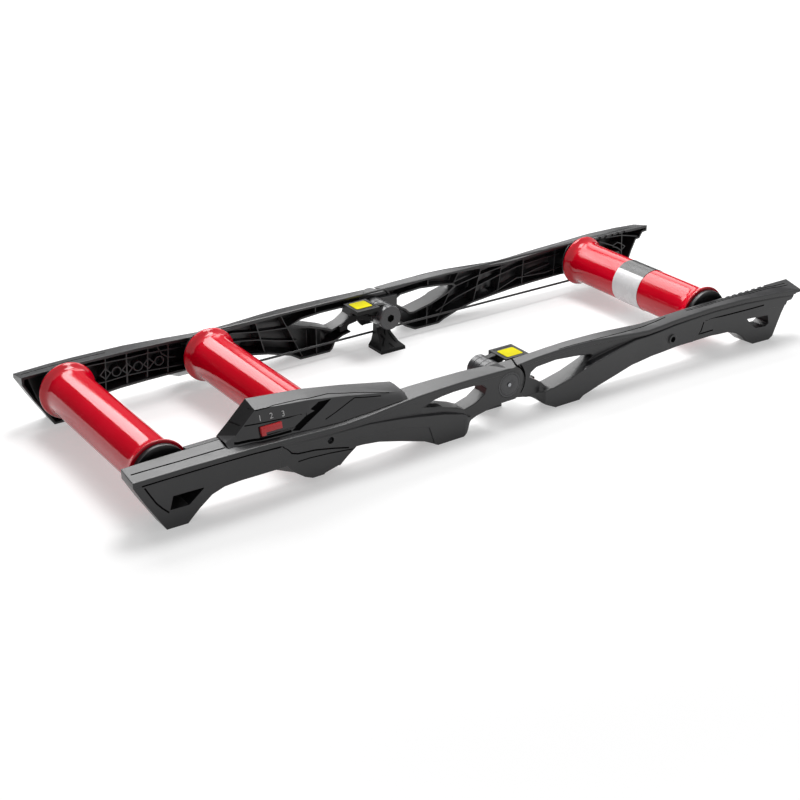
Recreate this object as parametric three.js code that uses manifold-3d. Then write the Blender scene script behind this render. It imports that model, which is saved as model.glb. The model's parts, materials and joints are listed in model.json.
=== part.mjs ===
// Three-drum folding bicycle rollers with a belt and a magnetic resistance unit.
// Millimetres, +Z up, +X towards the front drum, +Y towards the left (belt) side.
// Origin: on the floor under the fold hinge, midway along the length and across the width.
// Pieces are drawn for the left side and mirrored, or turned half round, for the right side.
import * as THREE from "three";
import { mergeVertices } from "three/addons/utils/BufferGeometryUtils.js";
import Module from "manifold-3d";

const wasm = await Module();
wasm.setup();

// Overall sizes
const HALF_LENGTH = 705;
const INNER_HALF_WIDTH = 199;
const FRAME_DEPTH = 45;
const FRAME_HEIGHT = 101;
const FIT_GAP = 0.3;
const OVERRUN = 6;

// Drums and their places
const REAR_END_INSET = 70.5;
const MIDDLE_END_INSET = 340.5;
const FRONT_END_INSET = 199.5;
const AXIS_DROP = 32.7;
const DRUM_R = 42.1;
const DRUM_WALL = 2;
const DRUM_END_INSET = 21.3;
const FLANGE_R = 50.9;
const FLANGE_LENGTH = 13;
const REAR_X = REAR_END_INSET - HALF_LENGTH;
const MIDDLE_X = MIDDLE_END_INSET - HALF_LENGTH;
const FRONT_X = HALF_LENGTH - FRONT_END_INSET;
const DRUM_AXIS_Z = FRAME_HEIGHT - AXIS_DROP;
const DRUM_HALF_LENGTH = INNER_HALF_WIDTH - DRUM_END_INSET;

// Pieces at the sides are drawn with y = 0 at the inner face of the left frame, y outwards.
// End caps of the drums
const CAP_R = 46;
const CAP_FACE_Y = -11;
const CAP_CHAMFER = 1.5;
const CAP_PLUG_LENGTH = 14;
const CAP_EYE_R = 9;
const CAP_DISH_R = 34;
const CAP_DISH_DEPTH = 2.5;

// Bearings, axles and the middle axle's screws
const BEARING_R = 14;
const BEARING_WIDTH = 8;
const BEARING_OUTER_Y = -19;
const AXLE_R = 6;
const AXLE_END_Y = 13;
const AXLE_BOSS_R = 13;
const AXLE_BOSS_Y = -7.4;
const SCREW_R = 3;
const SCREW_LENGTH = 15;
const SCREW_SEAT_INSET = 20;
const SCREW_HEAD_R = 5.5;
const SCREW_HEAD_HEIGHT = 5;
const SCREW_SOCKET_R = 2.4;
const SCREW_SOCKET_DEPTH = 3;
const SCREW_SEAT_Y = FRAME_DEPTH - SCREW_SEAT_INSET;

// Belt between the middle and the front drum
const BELT_R = 40.5;
const BELT_THICKNESS = 4;
const BELT_Y = -16.5;
const BELT_SIDE_GAP = 0.4;

// White band round the front drum
const BAND_CENTRE_Y = -2;
const BAND_WIDTH = 71;
const BAND_THICKNESS = 0.5;

// Frame moulding
const WALL = 4;
const RIB = 2.4;
const RIB_INSET = 3;
const LIP = 8;
const LIP_OVERHANG = 3;
const SOLE_INSET = 6;
const SHOULDER_RISE = 2;
const PANEL_DEPTH = 1.6;
const STATION_STEP = 70;
const NOTCH_COUNT = 7;
const NOTCH_LEAD = 26.5;
const NOTCH_SPACING = 17;
const NOTCH_LENGTH = 8;
const NOTCH_DEPTH = 3;
const NOTCH_HEIGHT = 7;
const BLIND_HOLE_REACH = 124.5;
const BLIND_HOLE_DROP = 8.1;
const BLIND_HOLE_DEPTH = 9;
const BLIND_HOLE_X = FRONT_X - BLIND_HOLE_REACH;
const BLIND_HOLE_Z = DRUM_AXIS_Z - BLIND_HOLE_DROP;

// Fold hinge
const HINGE_DROP = 33.6;
const HINGE_FACE_INSET = 14;
const BOSS_R = 33;
const BOSS_INNER_R = 40;
const SOCKET_GAP = 2.5;
const SWEEP_R = 63;
const SWEEP_INSET = 4.4;
const EAR_R = 24;
const EAR_INNER_Y = -21;
const EAR_OUTER_Y = 1.6;
const EAR_CLEARANCE = 1;
const ARM_INNER_Y = -8;
const ARM_REACH = 51;
const ARM_HALF_HEIGHT = 20.5;
const ARM_ROOT_X = 43.6;
const ARM_ROOT_Y = 9;
const PIN_R = 5;
const RIVET_R = 3.4;
const RIVET_RISE = 0.6;
const DISC_R = 23.2;
const DISC_THICKNESS = 2.6;
const DISC_SINK = 0.1;
const DISC_CHAMFER = 0.8;
const HINGE_Z = FRAME_HEIGHT - HINGE_DROP;
const HINGE_FACE_Y = FRAME_DEPTH - HINGE_FACE_INSET;
const SWEEP_Y = HINGE_FACE_Y - SWEEP_INSET;
const DISC_OUTER_Y = HINGE_FACE_Y - DISC_SINK;
const DISC_INNER_Y = DISC_OUTER_Y - DISC_THICKNESS;
const PIN_SHOULDER_Y = DISC_INNER_Y - 2 * FIT_GAP;
const RIVET_Y = HINGE_FACE_Y + RIVET_RISE;

// Barrel inboard of the hinge: foot ring, lever sleeve and cap
const RING_WIDTH = 13;
const SLEEVE_WIDTH = 14.4;
const BARREL_CAP_WIDTH = 13.2;
const BARREL_CHAMFER = 2;
const HEX_R = 8;
const HEX_DEPTH = 4;
const PIN_COVER = 6.5;
const RING_OUTER_Y = EAR_INNER_Y - FIT_GAP;
const RING_INNER_Y = RING_OUTER_Y - RING_WIDTH;
const SLEEVE_OUTER_Y = RING_INNER_Y - FIT_GAP;
const SLEEVE_INNER_Y = SLEEVE_OUTER_Y - SLEEVE_WIDTH;
const BARREL_CAP_OUTER_Y = SLEEVE_INNER_Y - FIT_GAP;
const BARREL_CAP_INNER_Y = BARREL_CAP_OUTER_Y - BARREL_CAP_WIDTH;
const PIN_INNER_Y = BARREL_CAP_INNER_Y + PIN_COVER;

// Release lever
const PLATE_NEAR_X = 22;
const PLATE_FAR_X = 72;
const PLATE_INNER_Y = -59;
const PLATE_OUTER_Y = -8.5;
const PLATE_RISE = 27.6;
const PLATE_THICKNESS = 3;
const PLATE_SKIRT = 8;
const LEVER_ARM_INSET = 1;
const LEVER_ARM_WIDTH = 12;
const PATCH_INSET = 6;
const PATCH_THICKNESS = 0.7;
const PLATE_TOP_Z = HINGE_Z + PLATE_RISE;

// Centre foot
const FOOT_REAR = 25;
const FOOT_FRONT = 30;
const FOOT_SPREAD = 46.5;
const FOOT_TOP_DROP = 17.4;
const FOOT_POCKET = 3;
const BRACE_THICKNESS = 9;
const BRACE_PAD_Y = -9;
const BRACE_END_Y = -FIT_GAP;
const FOOT_TOP_Z = HINGE_Z - FOOT_TOP_DROP;

// Resistance unit
const COVER_REACH = 175.5;
const COVER_LENGTH = 329.5;
const COVER_INNER_Y = -10.5;
const COVER_TOP_INSET = 25;
const COVER_OUTER_INSET = 12;
const COVER_TOP_FALL = 8;
const COVER_WALL = 3;
const SHELF_REACH = 232.5;
const SHELF_THICKNESS = 8;
const SLIDER_REACH = 121.5;
const SLIDER_LENGTH = 43;
const SLIDER_LIFT = 3;
const SLIDER_HEIGHT = 16;
const SLIDER_THICKNESS = 5;
const SLIDER_TRAVEL = 44;
const CHANNEL_LOW_INSET = 17;
const CHANNEL_HIGH_INSET = 21.1;
const BRAKE_R = 40;
const BRAKE_INNER_Y = -10.7;
const BRAKE_THICKNESS = 2.7;
const CARRIER_HALF_X = 27;
const CARRIER_RISE = 22.7;
const CARRIER_HEIGHT = 16;
const CARRIER_INNER_Y = -7.3;
const CARRIER_OUTER_Y = -0.6;
const MAGNET_R = 6.5;
const MAGNET_THICKNESS = 3;
const MAGNET_SPACING = 17;
const MAGNET_COUNT = 3;
const COVER_REAR_X = MIDDLE_X - COVER_REACH;
const COVER_TOP_Y = FRAME_DEPTH - COVER_TOP_INSET;
const COVER_OUTER_Y = FRAME_DEPTH - COVER_OUTER_INSET;
const SHELF_REAR_X = MIDDLE_X - SHELF_REACH;
const SLIDER_REAR_X = MIDDLE_X - SLIDER_REACH;
const CARRIER_LOW_Z = DRUM_AXIS_Z + CARRIER_RISE;

// Facets of round pieces
const ROUND = 28;
const CAP_ROUND = 24;
const SMALL_ROUND = 16;
const TINY_ROUND = 12;

// Drum flare: shares of the flange's rise and of its length
const FLARE_SHARES = [
  [0, 0], [0.14, 0.34], [0.84, 0.7], [1, 0.8], [1, 1],
];
// Top edge of a frame half: x share of the half length, heights of the inner and outer edge as
// shares of the frame height, depth share of the outer edge, share of the full overhang.
const REAR_TOP_SHARES = [
  [-1, 1, 0.93, 0.93, 1], [-0.85, 1.02, 0.955, 1, 1], [-0.71, 1.025, 0.95, 1, 1],
  [-0.58, 1, 0.905, 0.95, 1], [-0.48, 0.97, 0.872, 0.91, 1], [-0.41, 0.985, 0.895, 0.89, 1],
  [-0.33, 1, 0.94, 0.84, 1], [-0.245, 1.02, 0.972, 0.78, 0.9], [-0.12, 1.015, 0.977, 0.71, 0.4],
  [-0.06, 0.99, 0.972, 0.7, 0.1], [0, 0.968, 0.965, 0.69, 0.1], [0.06, 0.96, 0.97, 0.69, 0.1],
];
const FRONT_TOP_SHARES = [
  [0, 0.965, 0.965, 0.64, 1], [0.03, 0.962, 0.985, 0.62, 1], [0.085, 0.985, 1.005, 0.58, 0.8],
  [0.21, 1.02, 1.025, 0.57, 0.8], [0.306, 1.01, 0.99, 0.59, 0.9], [0.41, 0.965, 0.925, 0.64, 1],
  [0.454, 0.945, 0.905, 0.65, 1], [0.5, 0.95, 0.92, 0.64, 1], [0.546, 0.97, 0.945, 0.62, 1],
  [0.69, 0.99, 0.985, 0.62, 1], [0.8, 0.99, 0.995, 0.73, 1], [0.917, 1, 0.96, 0.84, 1],
  [1, 1, 0.905, 0.93, 1],
];
// Shoulder line of the outer face: x share, height share and depth share
const REAR_SHOULDER_SHARES = [
  [-1, 0.8, 0.86], [-0.85, 0.825, 0.9], [-0.71, 0.82, 0.92], [-0.58, 0.78, 0.92],
  [-0.48, 0.75, 0.89], [-0.41, 0.745, 0.9], [-0.33, 0.68, 0.9], [-0.27, 0.61, 0.89],
  [-0.2, 0.52, 0.88], [-0.14, 0.4, 0.87], [-0.128, 0.32, 0.81], [-0.115, 0.3, 0.7], [0, 0.3, 0.69],
  [0.06, 0.3, 0.69],
];
const FRONT_SHOULDER_SHARES = [
  [0, 0.3, 0.57], [0.095, 0.3, 0.56], [0.108, 0.36, 0.83], [0.146, 0.43, 0.85],
  [0.205, 0.52, 0.85], [0.262, 0.62, 0.83], [0.35, 0.74, 0.76], [0.41, 0.8, 0.7],
  [0.454, 0.795, 0.67], [0.5, 0.81, 0.65], [0.546, 0.835, 0.62], [0.69, 0.87, 0.6],
  [0.8, 0.88, 0.71], [0.917, 0.84, 0.81], [1, 0.79, 0.88],
];
// Undersides from the rear end to the hinge and from the hinge to the front end: shares of the half
// length and of the frame height for the outer edge, then the same for the inner edge
const REAR_UNDERSIDE_SHARES = [
  [-1, 0.85, -1, 0.85], [-0.975, 0.525, -0.975, 0.525], [-0.949, 0.22, -0.949, 0.22],
  [-0.93, 0, -0.93, 0], [-0.88, 0, -0.88, 0], [-0.87, 0.07, -0.87, 0.06],
  [-0.85, 0.2, -0.852, 0.15], [-0.819, 0.366, -0.825, 0.26], [-0.789, 0.436, -0.79, 0.33],
  [-0.749, 0.455, -0.745, 0.357], [-0.632, 0.455, -0.68, 0.372], [-0.612, 0.3, -0.62, 0.376],
  [-0.586, 0.17, -0.586, 0.376], [-0.566, 0.11, -0.566, 0.376], [-0.534, 0.11, -0.534, 0.376],
  [-0.494, 0.17, -0.494, 0.376], [-0.468, 0.32, -0.468, 0.376], [-0.449, 0.42, -0.449, 0.373],
  [-0.433, 0.416, -0.433, 0.368], [-0.385, 0.376, -0.385, 0.345], [-0.33, 0.277, -0.33, 0.27],
  [-0.257, 0.129, -0.262, 0.129], [-0.243, 0.08, -0.25, 0.08], [-0.22, 0, -0.232, 0],
  [-0.144, 0, -0.14, 0], [-0.133, 0.05, -0.131, 0.05], [-0.121, 0.208, -0.121, 0.19],
  [-0.097, 0.277, -0.097, 0.26], [-0.055, 0.337, -0.055, 0.32], [-0.028, 0.366, -0.028, 0.366],
  [0.07, 0.366, 0.07, 0.366],
];
const FRONT_UNDERSIDE_SHARES = [
  [0, 0.366, 0, 0.366], [0.025, 0.361, 0.025, 0.361], [0.072, 0.287, 0.072, 0.287],
  [0.091, 0.218, 0.091, 0.218], [0.107, 0.119, 0.107, 0.119], [0.143, 0, 0.14, 0],
  [0.219, 0, 0.222, 0], [0.23, 0.055, 0.24, 0.06], [0.283, 0.153, 0.29, 0.175],
  [0.35, 0.25, 0.34, 0.248], [0.416, 0.35, 0.416, 0.3], [0.484, 0.41, 0.484, 0.338],
  [0.555, 0.43, 0.555, 0.36], [0.7, 0.43, 0.66, 0.376], [0.752, 0.4, 0.735, 0.36],
  [0.776, 0.34, 0.77, 0.3], [0.801, 0.225, 0.795, 0.2], [0.818, 0.095, 0.815, 0.085],
  [0.845, 0, 0.84, 0], [0.9, 0, 0.904, 0], [0.912, 0.059, 0.917, 0.059], [0.92, 0.198, 0.925, 0.198],
  [0.938, 0.515, 0.943, 0.515], [0.954, 0.733, 0.958, 0.733], [0.968, 0.743, 0.972, 0.743],
  [0.98, 0.861, 0.983, 0.861], [1, 0.871, 1, 0.871],
];
// Openings through a frame half, in the same shares
const REAR_OPENING_SHARES = [
  [-0.259, 0.73], [-0.226, 0.8], [-0.166, 0.83], [-0.106, 0.83], [-0.08, 0.8], [-0.069, 0.73],
  [-0.074, 0.63], [-0.098, 0.52], [-0.133, 0.45], [-0.157, 0.53], [-0.199, 0.63],
];
const REAR_WINDOW_SHARES = [
  [-0.91, 0.52], [-0.838, 0.52], [-0.838, 0.51], [-0.874, 0.31], [-0.919, 0.31],
];
const FRONT_OPENING_SHARES = [
  [0.07, 0.66], [0.074, 0.73], [0.092, 0.8], [0.156, 0.83], [0.22, 0.79], [0.268, 0.74],
  [0.273, 0.71], [0.255, 0.63], [0.193, 0.48], [0.134, 0.39], [0.122, 0.4], [0.109, 0.49],
];
const FRONT_WINDOW_SHARES = [
  [0.813, 0.56], [0.887, 0.53], [0.893, 0.36], [0.882, 0.31], [0.846, 0.33], [0.823, 0.47],
];
// Sunk panels of the outer face, in the same shares
const REAR_PANEL_SHARES = [
  [-0.641, 0.83], [-0.624, 0.69], [-0.52, 0.58], [-0.441, 0.57], [-0.33, 0.53], [-0.245, 0.37],
  [-0.223, -0.1], [-0.65, -0.1], [-0.65, 0.7],
];
const FRONT_PANEL_SHARES = [
  [0.628, 0.64], [0.644, 0.77], [0.782, 0.73], [0.936, 0.65], [0.974, 0.69], [0.99, -0.1],
  [0.6, -0.1],
];
// Ribs of the hollow: x shares of the half length at the floor and at the frame height
const REAR_RIB_SHARES = [
  [-0.943, -0.984], [-0.857, -0.862], [-0.791, -0.782], [-0.732, -0.726], [-0.681, -0.667],
  [-0.623, -0.611], [-0.468, -0.457], [-0.326, -0.363], [-0.221, -0.288], [-0.179, -0.179],
];
const FRONT_RIB_SHARES = [
  [0.182, 0.187], [0.213, 0.295], [0.335, 0.373], [0.424, 0.447], [0.518, 0.526], [0.638, 0.644],
  [0.773, 0.777], [0.908, 0.902], [0.93, 0.997],
];
// Centre foot: height share, then shares of its rear reach, front reach and inward spread
const FOOT_SHARES = [
  [0, 1, 1, 1], [0.12, 1, 1, 0.96], [0.28, 0.76, 0.75, 0.7], [0.6, 0.6, 0.52, 0.38],
  [0.84, 0.58, 0.46, 0.27], [1, 0.56, 0.44, 0.27],
];
// Recesses between the crossed ribs of the foot's inner face: x share of its reach, height share
const FOOT_RECESS_SHARES = [
  [[-0.14, 0.14], [0.22, 0.14], [0.04, 0.3]],
  [[-0.6, 0.22], [-0.14, 0.44], [-0.34, 0.62]],
  [[0.6, 0.22], [0.2, 0.44], [0.32, 0.62]],
  [[0.02, 0.5], [0.18, 0.78], [-0.18, 0.78]],
];
// Brace of the centre foot: x and z as shares of the ear radius about the hinge, y share of the
// way from the foot ring's middle to the frame
const BRACE_SHARES = [
  [-0.1, 0, -0.7], [-1.1, 0.05, -0.2], [-2.08, 0.4, -0.02], [-2.6, 0.6, -0.32], [-2.95, 0.76, -0.85],
];
const BRACE_PAD_SHARES = [[-3.35, -1.15], [-3.35, -0.7], [-2.65, -0.62], [-2.65, -1.05]];
// Arm that carries the lever plate: x share of the plate's reach, height share between the hinge
// axis and the plate's top
const LEVER_ARM_SHARES = [
  [0, 0.86], [-0.33, 0.97], [-0.86, 0.97], [-0.82, 0.8], [-0.36, 0.2], [0, -0.2],
];
// Top of the resistance cover: x share of its length, height share of the frame height
const COVER_TOP_SHARES = [
  [0, 1.045], [0.053, 1.2], [0.16, 1.535], [0.458, 1.446], [0.683, 1.327], [0.974, 1.14],
  [1, 1.075],
];

// Colours and finishes
const LOOKS = {
  frame: { color: 0x26272a, roughness: 0.55, metalness: 0 },
  drum: { color: 0xb80c20, roughness: 0.18, metalness: 0.1 },
  cap: { color: 0x17181a, roughness: 0.5, metalness: 0 },
  steel: { color: 0x9a9c9f, roughness: 0.3, metalness: 1 },
  aluminium: { color: 0xb9bbbd, roughness: 0.35, metalness: 1 },
  barrel: { color: 0x5f6164, roughness: 0.45, metalness: 0 },
  cover: { color: 0x2d2e31, roughness: 0.5, metalness: 0 },
  slider: { color: 0xc8282c, roughness: 0.35, metalness: 0 },
  patch: { color: 0xe6e000, roughness: 0.5, metalness: 0 },
  band: { color: 0xf2f2f2, roughness: 0.3, metalness: 0 },
  belt: { color: 0x111111, roughness: 0.7, metalness: 0 },
  magnet: { color: 0x6f7175, roughness: 0.4, metalness: 1 },
};

const group = new THREE.Group();

function add(name, geometry, look) {
  const piece = new THREE.Mesh(geometry, new THREE.MeshStandardMaterial(LOOKS[look]));
  piece.name = name;
  group.add(piece);
}

// Side pieces: on the left as drawn, on the right as the mirror image or turned half round
const atSide = (geometry) => positionsOnly(geometry).translate(0, INNER_HALF_WIDTH, 0);

function addLeft(name, geometry, look) {
  add(name, atSide(geometry), look);
}

function addRight(name, geometry, look) {
  add(name, mirrored(atSide(geometry)), look);
}

function addPair(name, geometry, look) {
  addLeft(`${name}_left`, geometry, look);
  addRight(`${name}_right`, geometry, look);
}

function addTurnedPair(name, geometry, look) {
  addLeft(`${name}_left`, geometry, look);
  add(`${name}_right`, atSide(geometry).rotateZ(Math.PI), look);
}

// Geometry with bare positions, and the way to a solid and back
function positionsOnly(geometry) {
  const bare = geometry.clone();
  bare.deleteAttribute("normal");
  bare.deleteAttribute("uv");
  return mergeVertices(bare);
}

function solid(geometry) {
  const merged = positionsOnly(geometry);
  return new wasm.Manifold(new wasm.Mesh({
    numProp: 3,
    vertProperties: new Float32Array(merged.attributes.position.array),
    triVerts: new Uint32Array(merged.index.array),
  }));
}

function geometryOf(manifold) {
  const out = manifold.getMesh();
  const geometry = new THREE.BufferGeometry();
  geometry.setAttribute("position", new THREE.BufferAttribute(new Float32Array(out.vertProperties), 3));
  geometry.setIndex(new THREE.BufferAttribute(new Uint32Array(out.triVerts), 1));
  return geometry;
}

function flipTriangles(geometry) {
  const index = geometry.index.array;
  for (let i = 0; i < index.length; i += 3) {
    [index[i + 1], index[i + 2]] = [index[i + 2], index[i + 1]];
  }
  return geometry;
}

function mirrored(geometry) {
  const copy = positionsOnly(geometry);
  copy.scale(1, -1, 1);
  return flipTriangles(copy);
}

function signedVolume(geometry) {
  const p = geometry.attributes.position.array;
  const index = geometry.index.array;
  let total = 0;
  for (let i = 0; i < index.length; i += 3) {
    const [a, b, c] = [index[i] * 3, index[i + 1] * 3, index[i + 2] * 3];
    total += p[a] * (p[b + 1] * p[c + 2] - p[b + 2] * p[c + 1]);
    total += p[a + 1] * (p[b + 2] * p[c] - p[b] * p[c + 2]);
    total += p[a + 2] * (p[b] * p[c + 1] - p[b + 1] * p[c]);
  }
  return total;
}

function outward(geometry) {
  return signedVolume(geometry) < 0 ? flipTriangles(geometry) : geometry;
}

// A side outline of [x, z] points pulled along Y from y0 to y1
function prism(outline, y0, y1) {
  const shape = new THREE.Shape(outline.map(([x, z]) => new THREE.Vector2(x, z)));
  const geometry = new THREE.ExtrudeGeometry(shape, { depth: y1 - y0, bevelEnabled: false });
  geometry.rotateX(Math.PI / 2);
  geometry.translate(0, y1, 0);
  return geometry;
}

// A rod along Y at (x, z); the inner radius is the one at y0
function rod(r, y0, y1, x, z, sides = SMALL_ROUND, innerR = r) {
  const geometry = new THREE.CylinderGeometry(r, innerR, y1 - y0, sides);
  geometry.translate(x, (y0 + y1) / 2, z);
  return geometry;
}

function block(x0, x1, y0, y1, z0, z1) {
  const geometry = new THREE.BoxGeometry(x1 - x0, y1 - y0, z1 - z0);
  geometry.translate((x0 + x1) / 2, (y0 + y1) / 2, (z0 + z1) / 2);
  return geometry;
}

// A profile of [radius, y] points turned round the Y axis at (x, z)
function lathe(profile, x, z, sides = ROUND) {
  const points = profile.map(([r, y]) => new THREE.Vector2(r, y));
  const geometry = new THREE.LatheGeometry(points, sides);
  geometry.translate(x, 0, z);
  return outward(positionsOnly(geometry));
}

// Closed body through a row of like rings of [x, y, z] points; the end rings are filled as seen
// along the two given axes
function loft(rings, axes = [1, 2]) {
  const count = rings[0].length;
  const index = [];
  for (let s = 0; s + 1 < rings.length; s += 1) {
    for (let i = 0; i < count; i += 1) {
      const a = s * count + i;
      const b = s * count + ((i + 1) % count);
      index.push(a, b, b + count, a, b + count, a + count);
    }
  }
  for (const end of [0, rings.length - 1]) {
    const flat = rings[end].map((point) => new THREE.Vector2(point[axes[0]], point[axes[1]]));
    const ringSign = Math.sign(THREE.ShapeUtils.area(flat));
    for (const [a, b, c] of THREE.ShapeUtils.triangulateShape(flat, [])) {
      const sameWay = Math.sign(THREE.ShapeUtils.area([flat[a], flat[b], flat[c]])) === ringSign;
      const flip = sameWay === (end === 0);
      const base = end * count;
      index.push(base + a, base + (flip ? c : b), base + (flip ? b : c));
    }
  }
  const geometry = new THREE.BufferGeometry();
  geometry.setAttribute("position", new THREE.Float32BufferAttribute(rings.flat(2), 3));
  geometry.setIndex(index);
  return outward(geometry);
}

// Value of a table column at x, smooth and without overshoot
function along(table, column, x) {
  const last = table.length - 1;
  if (x <= table[0][0]) return table[0][column];
  if (x >= table[last][0]) return table[last][column];
  let i = 0;
  while (table[i + 1][0] < x) i += 1;
  const slope = (k) => (table[k + 1][column] - table[k][column]) / (table[k + 1][0] - table[k][0]);
  const tangent = (k) => {
    if (k === 0) return slope(0);
    if (k === last) return slope(last - 1);
    const [before, after] = [slope(k - 1), slope(k)];
    return before * after <= 0 ? 0 : (2 * before * after) / (before + after);
  };
  const width = table[i + 1][0] - table[i][0];
  const t = (x - table[i][0]) / width;
  const start = (1 + 2 * t) * (1 - t) ** 2 * table[i][column] + t * (1 - t) ** 2 * width * tangent(i);
  return start + t * t * (3 - 2 * t) * table[i + 1][column] + t * t * (t - 1) * width * tangent(i + 1);
}

// Straight-line value of the same
function straightAlong(table, column, x) {
  let i = 0;
  while (i + 2 < table.length && table[i + 1][0] < x) i += 1;
  const t = (x - table[i][0]) / (table[i + 1][0] - table[i][0]);
  return table[i][column] + t * (table[i + 1][column] - table[i][column]);
}

// Outline moved sideways: a positive distance grows it, a negative one shrinks it
function offset(outline, distance) {
  const points = outline.map(([x, z]) => new THREE.Vector2(x, z));
  const sign = THREE.ShapeUtils.area(points) > 0 ? 1 : -1;
  return points.map((point, i) => {
    const before = points[(i + points.length - 1) % points.length];
    const after = points[(i + 1) % points.length];
    const n1 = new THREE.Vector2(point.y - before.y, before.x - point.x).normalize();
    const n2 = new THREE.Vector2(after.y - point.y, point.x - after.x).normalize();
    const reach = sign * distance / Math.max(1 + n1.dot(n2), 0.4);
    return [point.x + (n1.x + n2.x) * reach, point.y + (n1.y + n2.y) * reach];
  });
}

const inFrame = (shares) => shares.map(([x, z]) => [x * HALF_LENGTH, z * FRAME_HEIGHT]);
const outerEdge = (shares) => inFrame(shares.map((row) => row.slice(0, 2)));
const innerEdge = (shares) => inFrame(shares.map((row) => row.slice(2)));

const REAR_HALF = {
  top: REAR_TOP_SHARES,
  shoulder: REAR_SHOULDER_SHARES,
  undersides: [innerEdge(REAR_UNDERSIDE_SHARES), outerEdge(REAR_UNDERSIDE_SHARES)],
  openings: [inFrame(REAR_OPENING_SHARES), inFrame(REAR_WINDOW_SHARES)],
  panel: inFrame(REAR_PANEL_SHARES),
  ribs: REAR_RIB_SHARES,
  axles: [REAR_X, MIDDLE_X],
};
const FRONT_HALF = {
  top: FRONT_TOP_SHARES,
  shoulder: FRONT_SHOULDER_SHARES,
  undersides: [innerEdge(FRONT_UNDERSIDE_SHARES), outerEdge(FRONT_UNDERSIDE_SHARES)],
  openings: [inFrame(FRONT_OPENING_SHARES), inFrame(FRONT_WINDOW_SHARES)],
  panel: inFrame(FRONT_PANEL_SHARES),
  ribs: FRONT_RIB_SHARES,
  axles: [FRONT_X],
};
const DEEP_Y = FRAME_DEPTH + OVERRUN;
const SHALLOW_Y = -OVERRUN;
const HIGH_Z = FRAME_HEIGHT + 2 * OVERRUN;

// Cross-section of the moulding's outside at x; sunk moves the outer face inwards
function outsideRing(half, x, sunk) {
  const share = x / HALF_LENGTH;
  const topInner = along(half.top, 1, share) * FRAME_HEIGHT;
  const topOuter = along(half.top, 2, share) * FRAME_HEIGHT;
  const lipY = along(half.top, 3, share) * FRAME_DEPTH;
  const wallY = lipY - along(half.top, 4, share) * LIP_OVERHANG - sunk;
  const shoulderY = along(half.shoulder, 2, share) * FRAME_DEPTH - sunk;
  const lipBottom = topOuter - LIP;
  const stepZ = Math.min(along(half.shoulder, 1, share) * FRAME_HEIGHT + SHOULDER_RISE, lipBottom - FIT_GAP);
  return [
    [x, 0, -OVERRUN], [x, 0, topInner], [x, lipY, topOuter],
    [x, lipY, lipBottom + FIT_GAP], [x, wallY, lipBottom], [x, wallY, stepZ],
    [x, shoulderY, stepZ - SHOULDER_RISE], [x, shoulderY, -OVERRUN],
  ];
}

// Cross-section of the hollow behind it, open towards the drums
function insideRing(half, x) {
  const share = x / HALF_LENGTH;
  const topInner = along(half.top, 1, share) * FRAME_HEIGHT - WALL;
  const topOuter = along(half.top, 2, share) * FRAME_HEIGHT - WALL;
  const lipY = along(half.top, 3, share) * FRAME_DEPTH;
  const wallY = lipY - along(half.top, 4, share) * LIP_OVERHANG - WALL;
  const shoulderY = Math.max(along(half.shoulder, 2, share) * FRAME_DEPTH - WALL, wallY);
  const stepZ = Math.min(along(half.shoulder, 1, share) * FRAME_HEIGHT, topOuter - LIP) - WALL;
  return [
    [x, SHALLOW_Y, -OVERRUN], [x, SHALLOW_Y, topInner], [x, wallY, Math.min(topInner, topOuter)],
    [x, wallY, stepZ], [x, shoulderY, stepZ - SHOULDER_RISE], [x, shoulderY, -OVERRUN],
  ];
}

function stations(half) {
  const [fromX, toX] = [half.top[0][0] * HALF_LENGTH, half.top.at(-1)[0] * HALF_LENGTH];
  const xs = half.shoulder.map(([share]) => share * HALF_LENGTH);
  const steps = Math.round((toX - fromX) / STATION_STEP);
  for (let i = 0; i <= steps; i += 1) {
    const x = fromX + ((toX - fromX) * i) / steps;
    if (xs.every((other) => Math.abs(other - x) > STATION_STEP / 3)) xs.push(x);
  }
  return xs.sort((a, b) => a - b);
}

// Everything above the underside, which runs from its inner edge to its outer edge
function aboveUnderside(half, inset) {
  const [inner, outer] = half.undersides.map((edge) => {
    const closed = [...edge, [edge.at(-1)[0], HIGH_Z], [edge[0][0], HIGH_Z]];
    return offset(closed, -inset);
  });
  const ring = (edge, y) => edge.map(([x, z]) => [x, y, z]);
  return solid(loft([
    ring(inner, SHALLOW_Y), ring(inner, 0), ring(outer, FRAME_DEPTH - SOLE_INSET), ring(outer, DEEP_Y),
  ], [0, 2]));
}

// Upright and slanting ribs that stiffen the hollow
function ribs(half) {
  return half.ribs.map(([low, high]) => {
    const slope = ((high - low) * HALF_LENGTH) / FRAME_HEIGHT;
    const [lowX, highX] = [-OVERRUN, HIGH_Z].map((z) => low * HALF_LENGTH + slope * z);
    const outline = [
      [lowX - RIB / 2, -OVERRUN], [lowX + RIB / 2, -OVERRUN], [highX + RIB / 2, HIGH_Z],
      [highX - RIB / 2, HIGH_Z],
    ];
    return solid(prism(outline, RIB_INSET, DEEP_Y));
  });
}

// The hinge boss of the rear half is a cone that widens inwards; the socket is the same plus a gap
function hingeCone(extra) {
  const slope = (BOSS_INNER_R - BOSS_R) / HINGE_FACE_Y;
  const outerR = BOSS_R + extra - slope * OVERRUN;
  const innerR = BOSS_INNER_R + extra + slope * OVERRUN;
  return solid(rod(outerR, SHALLOW_Y, HINGE_FACE_Y + OVERRUN, 0, HINGE_Z, ROUND, innerR));
}

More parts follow.
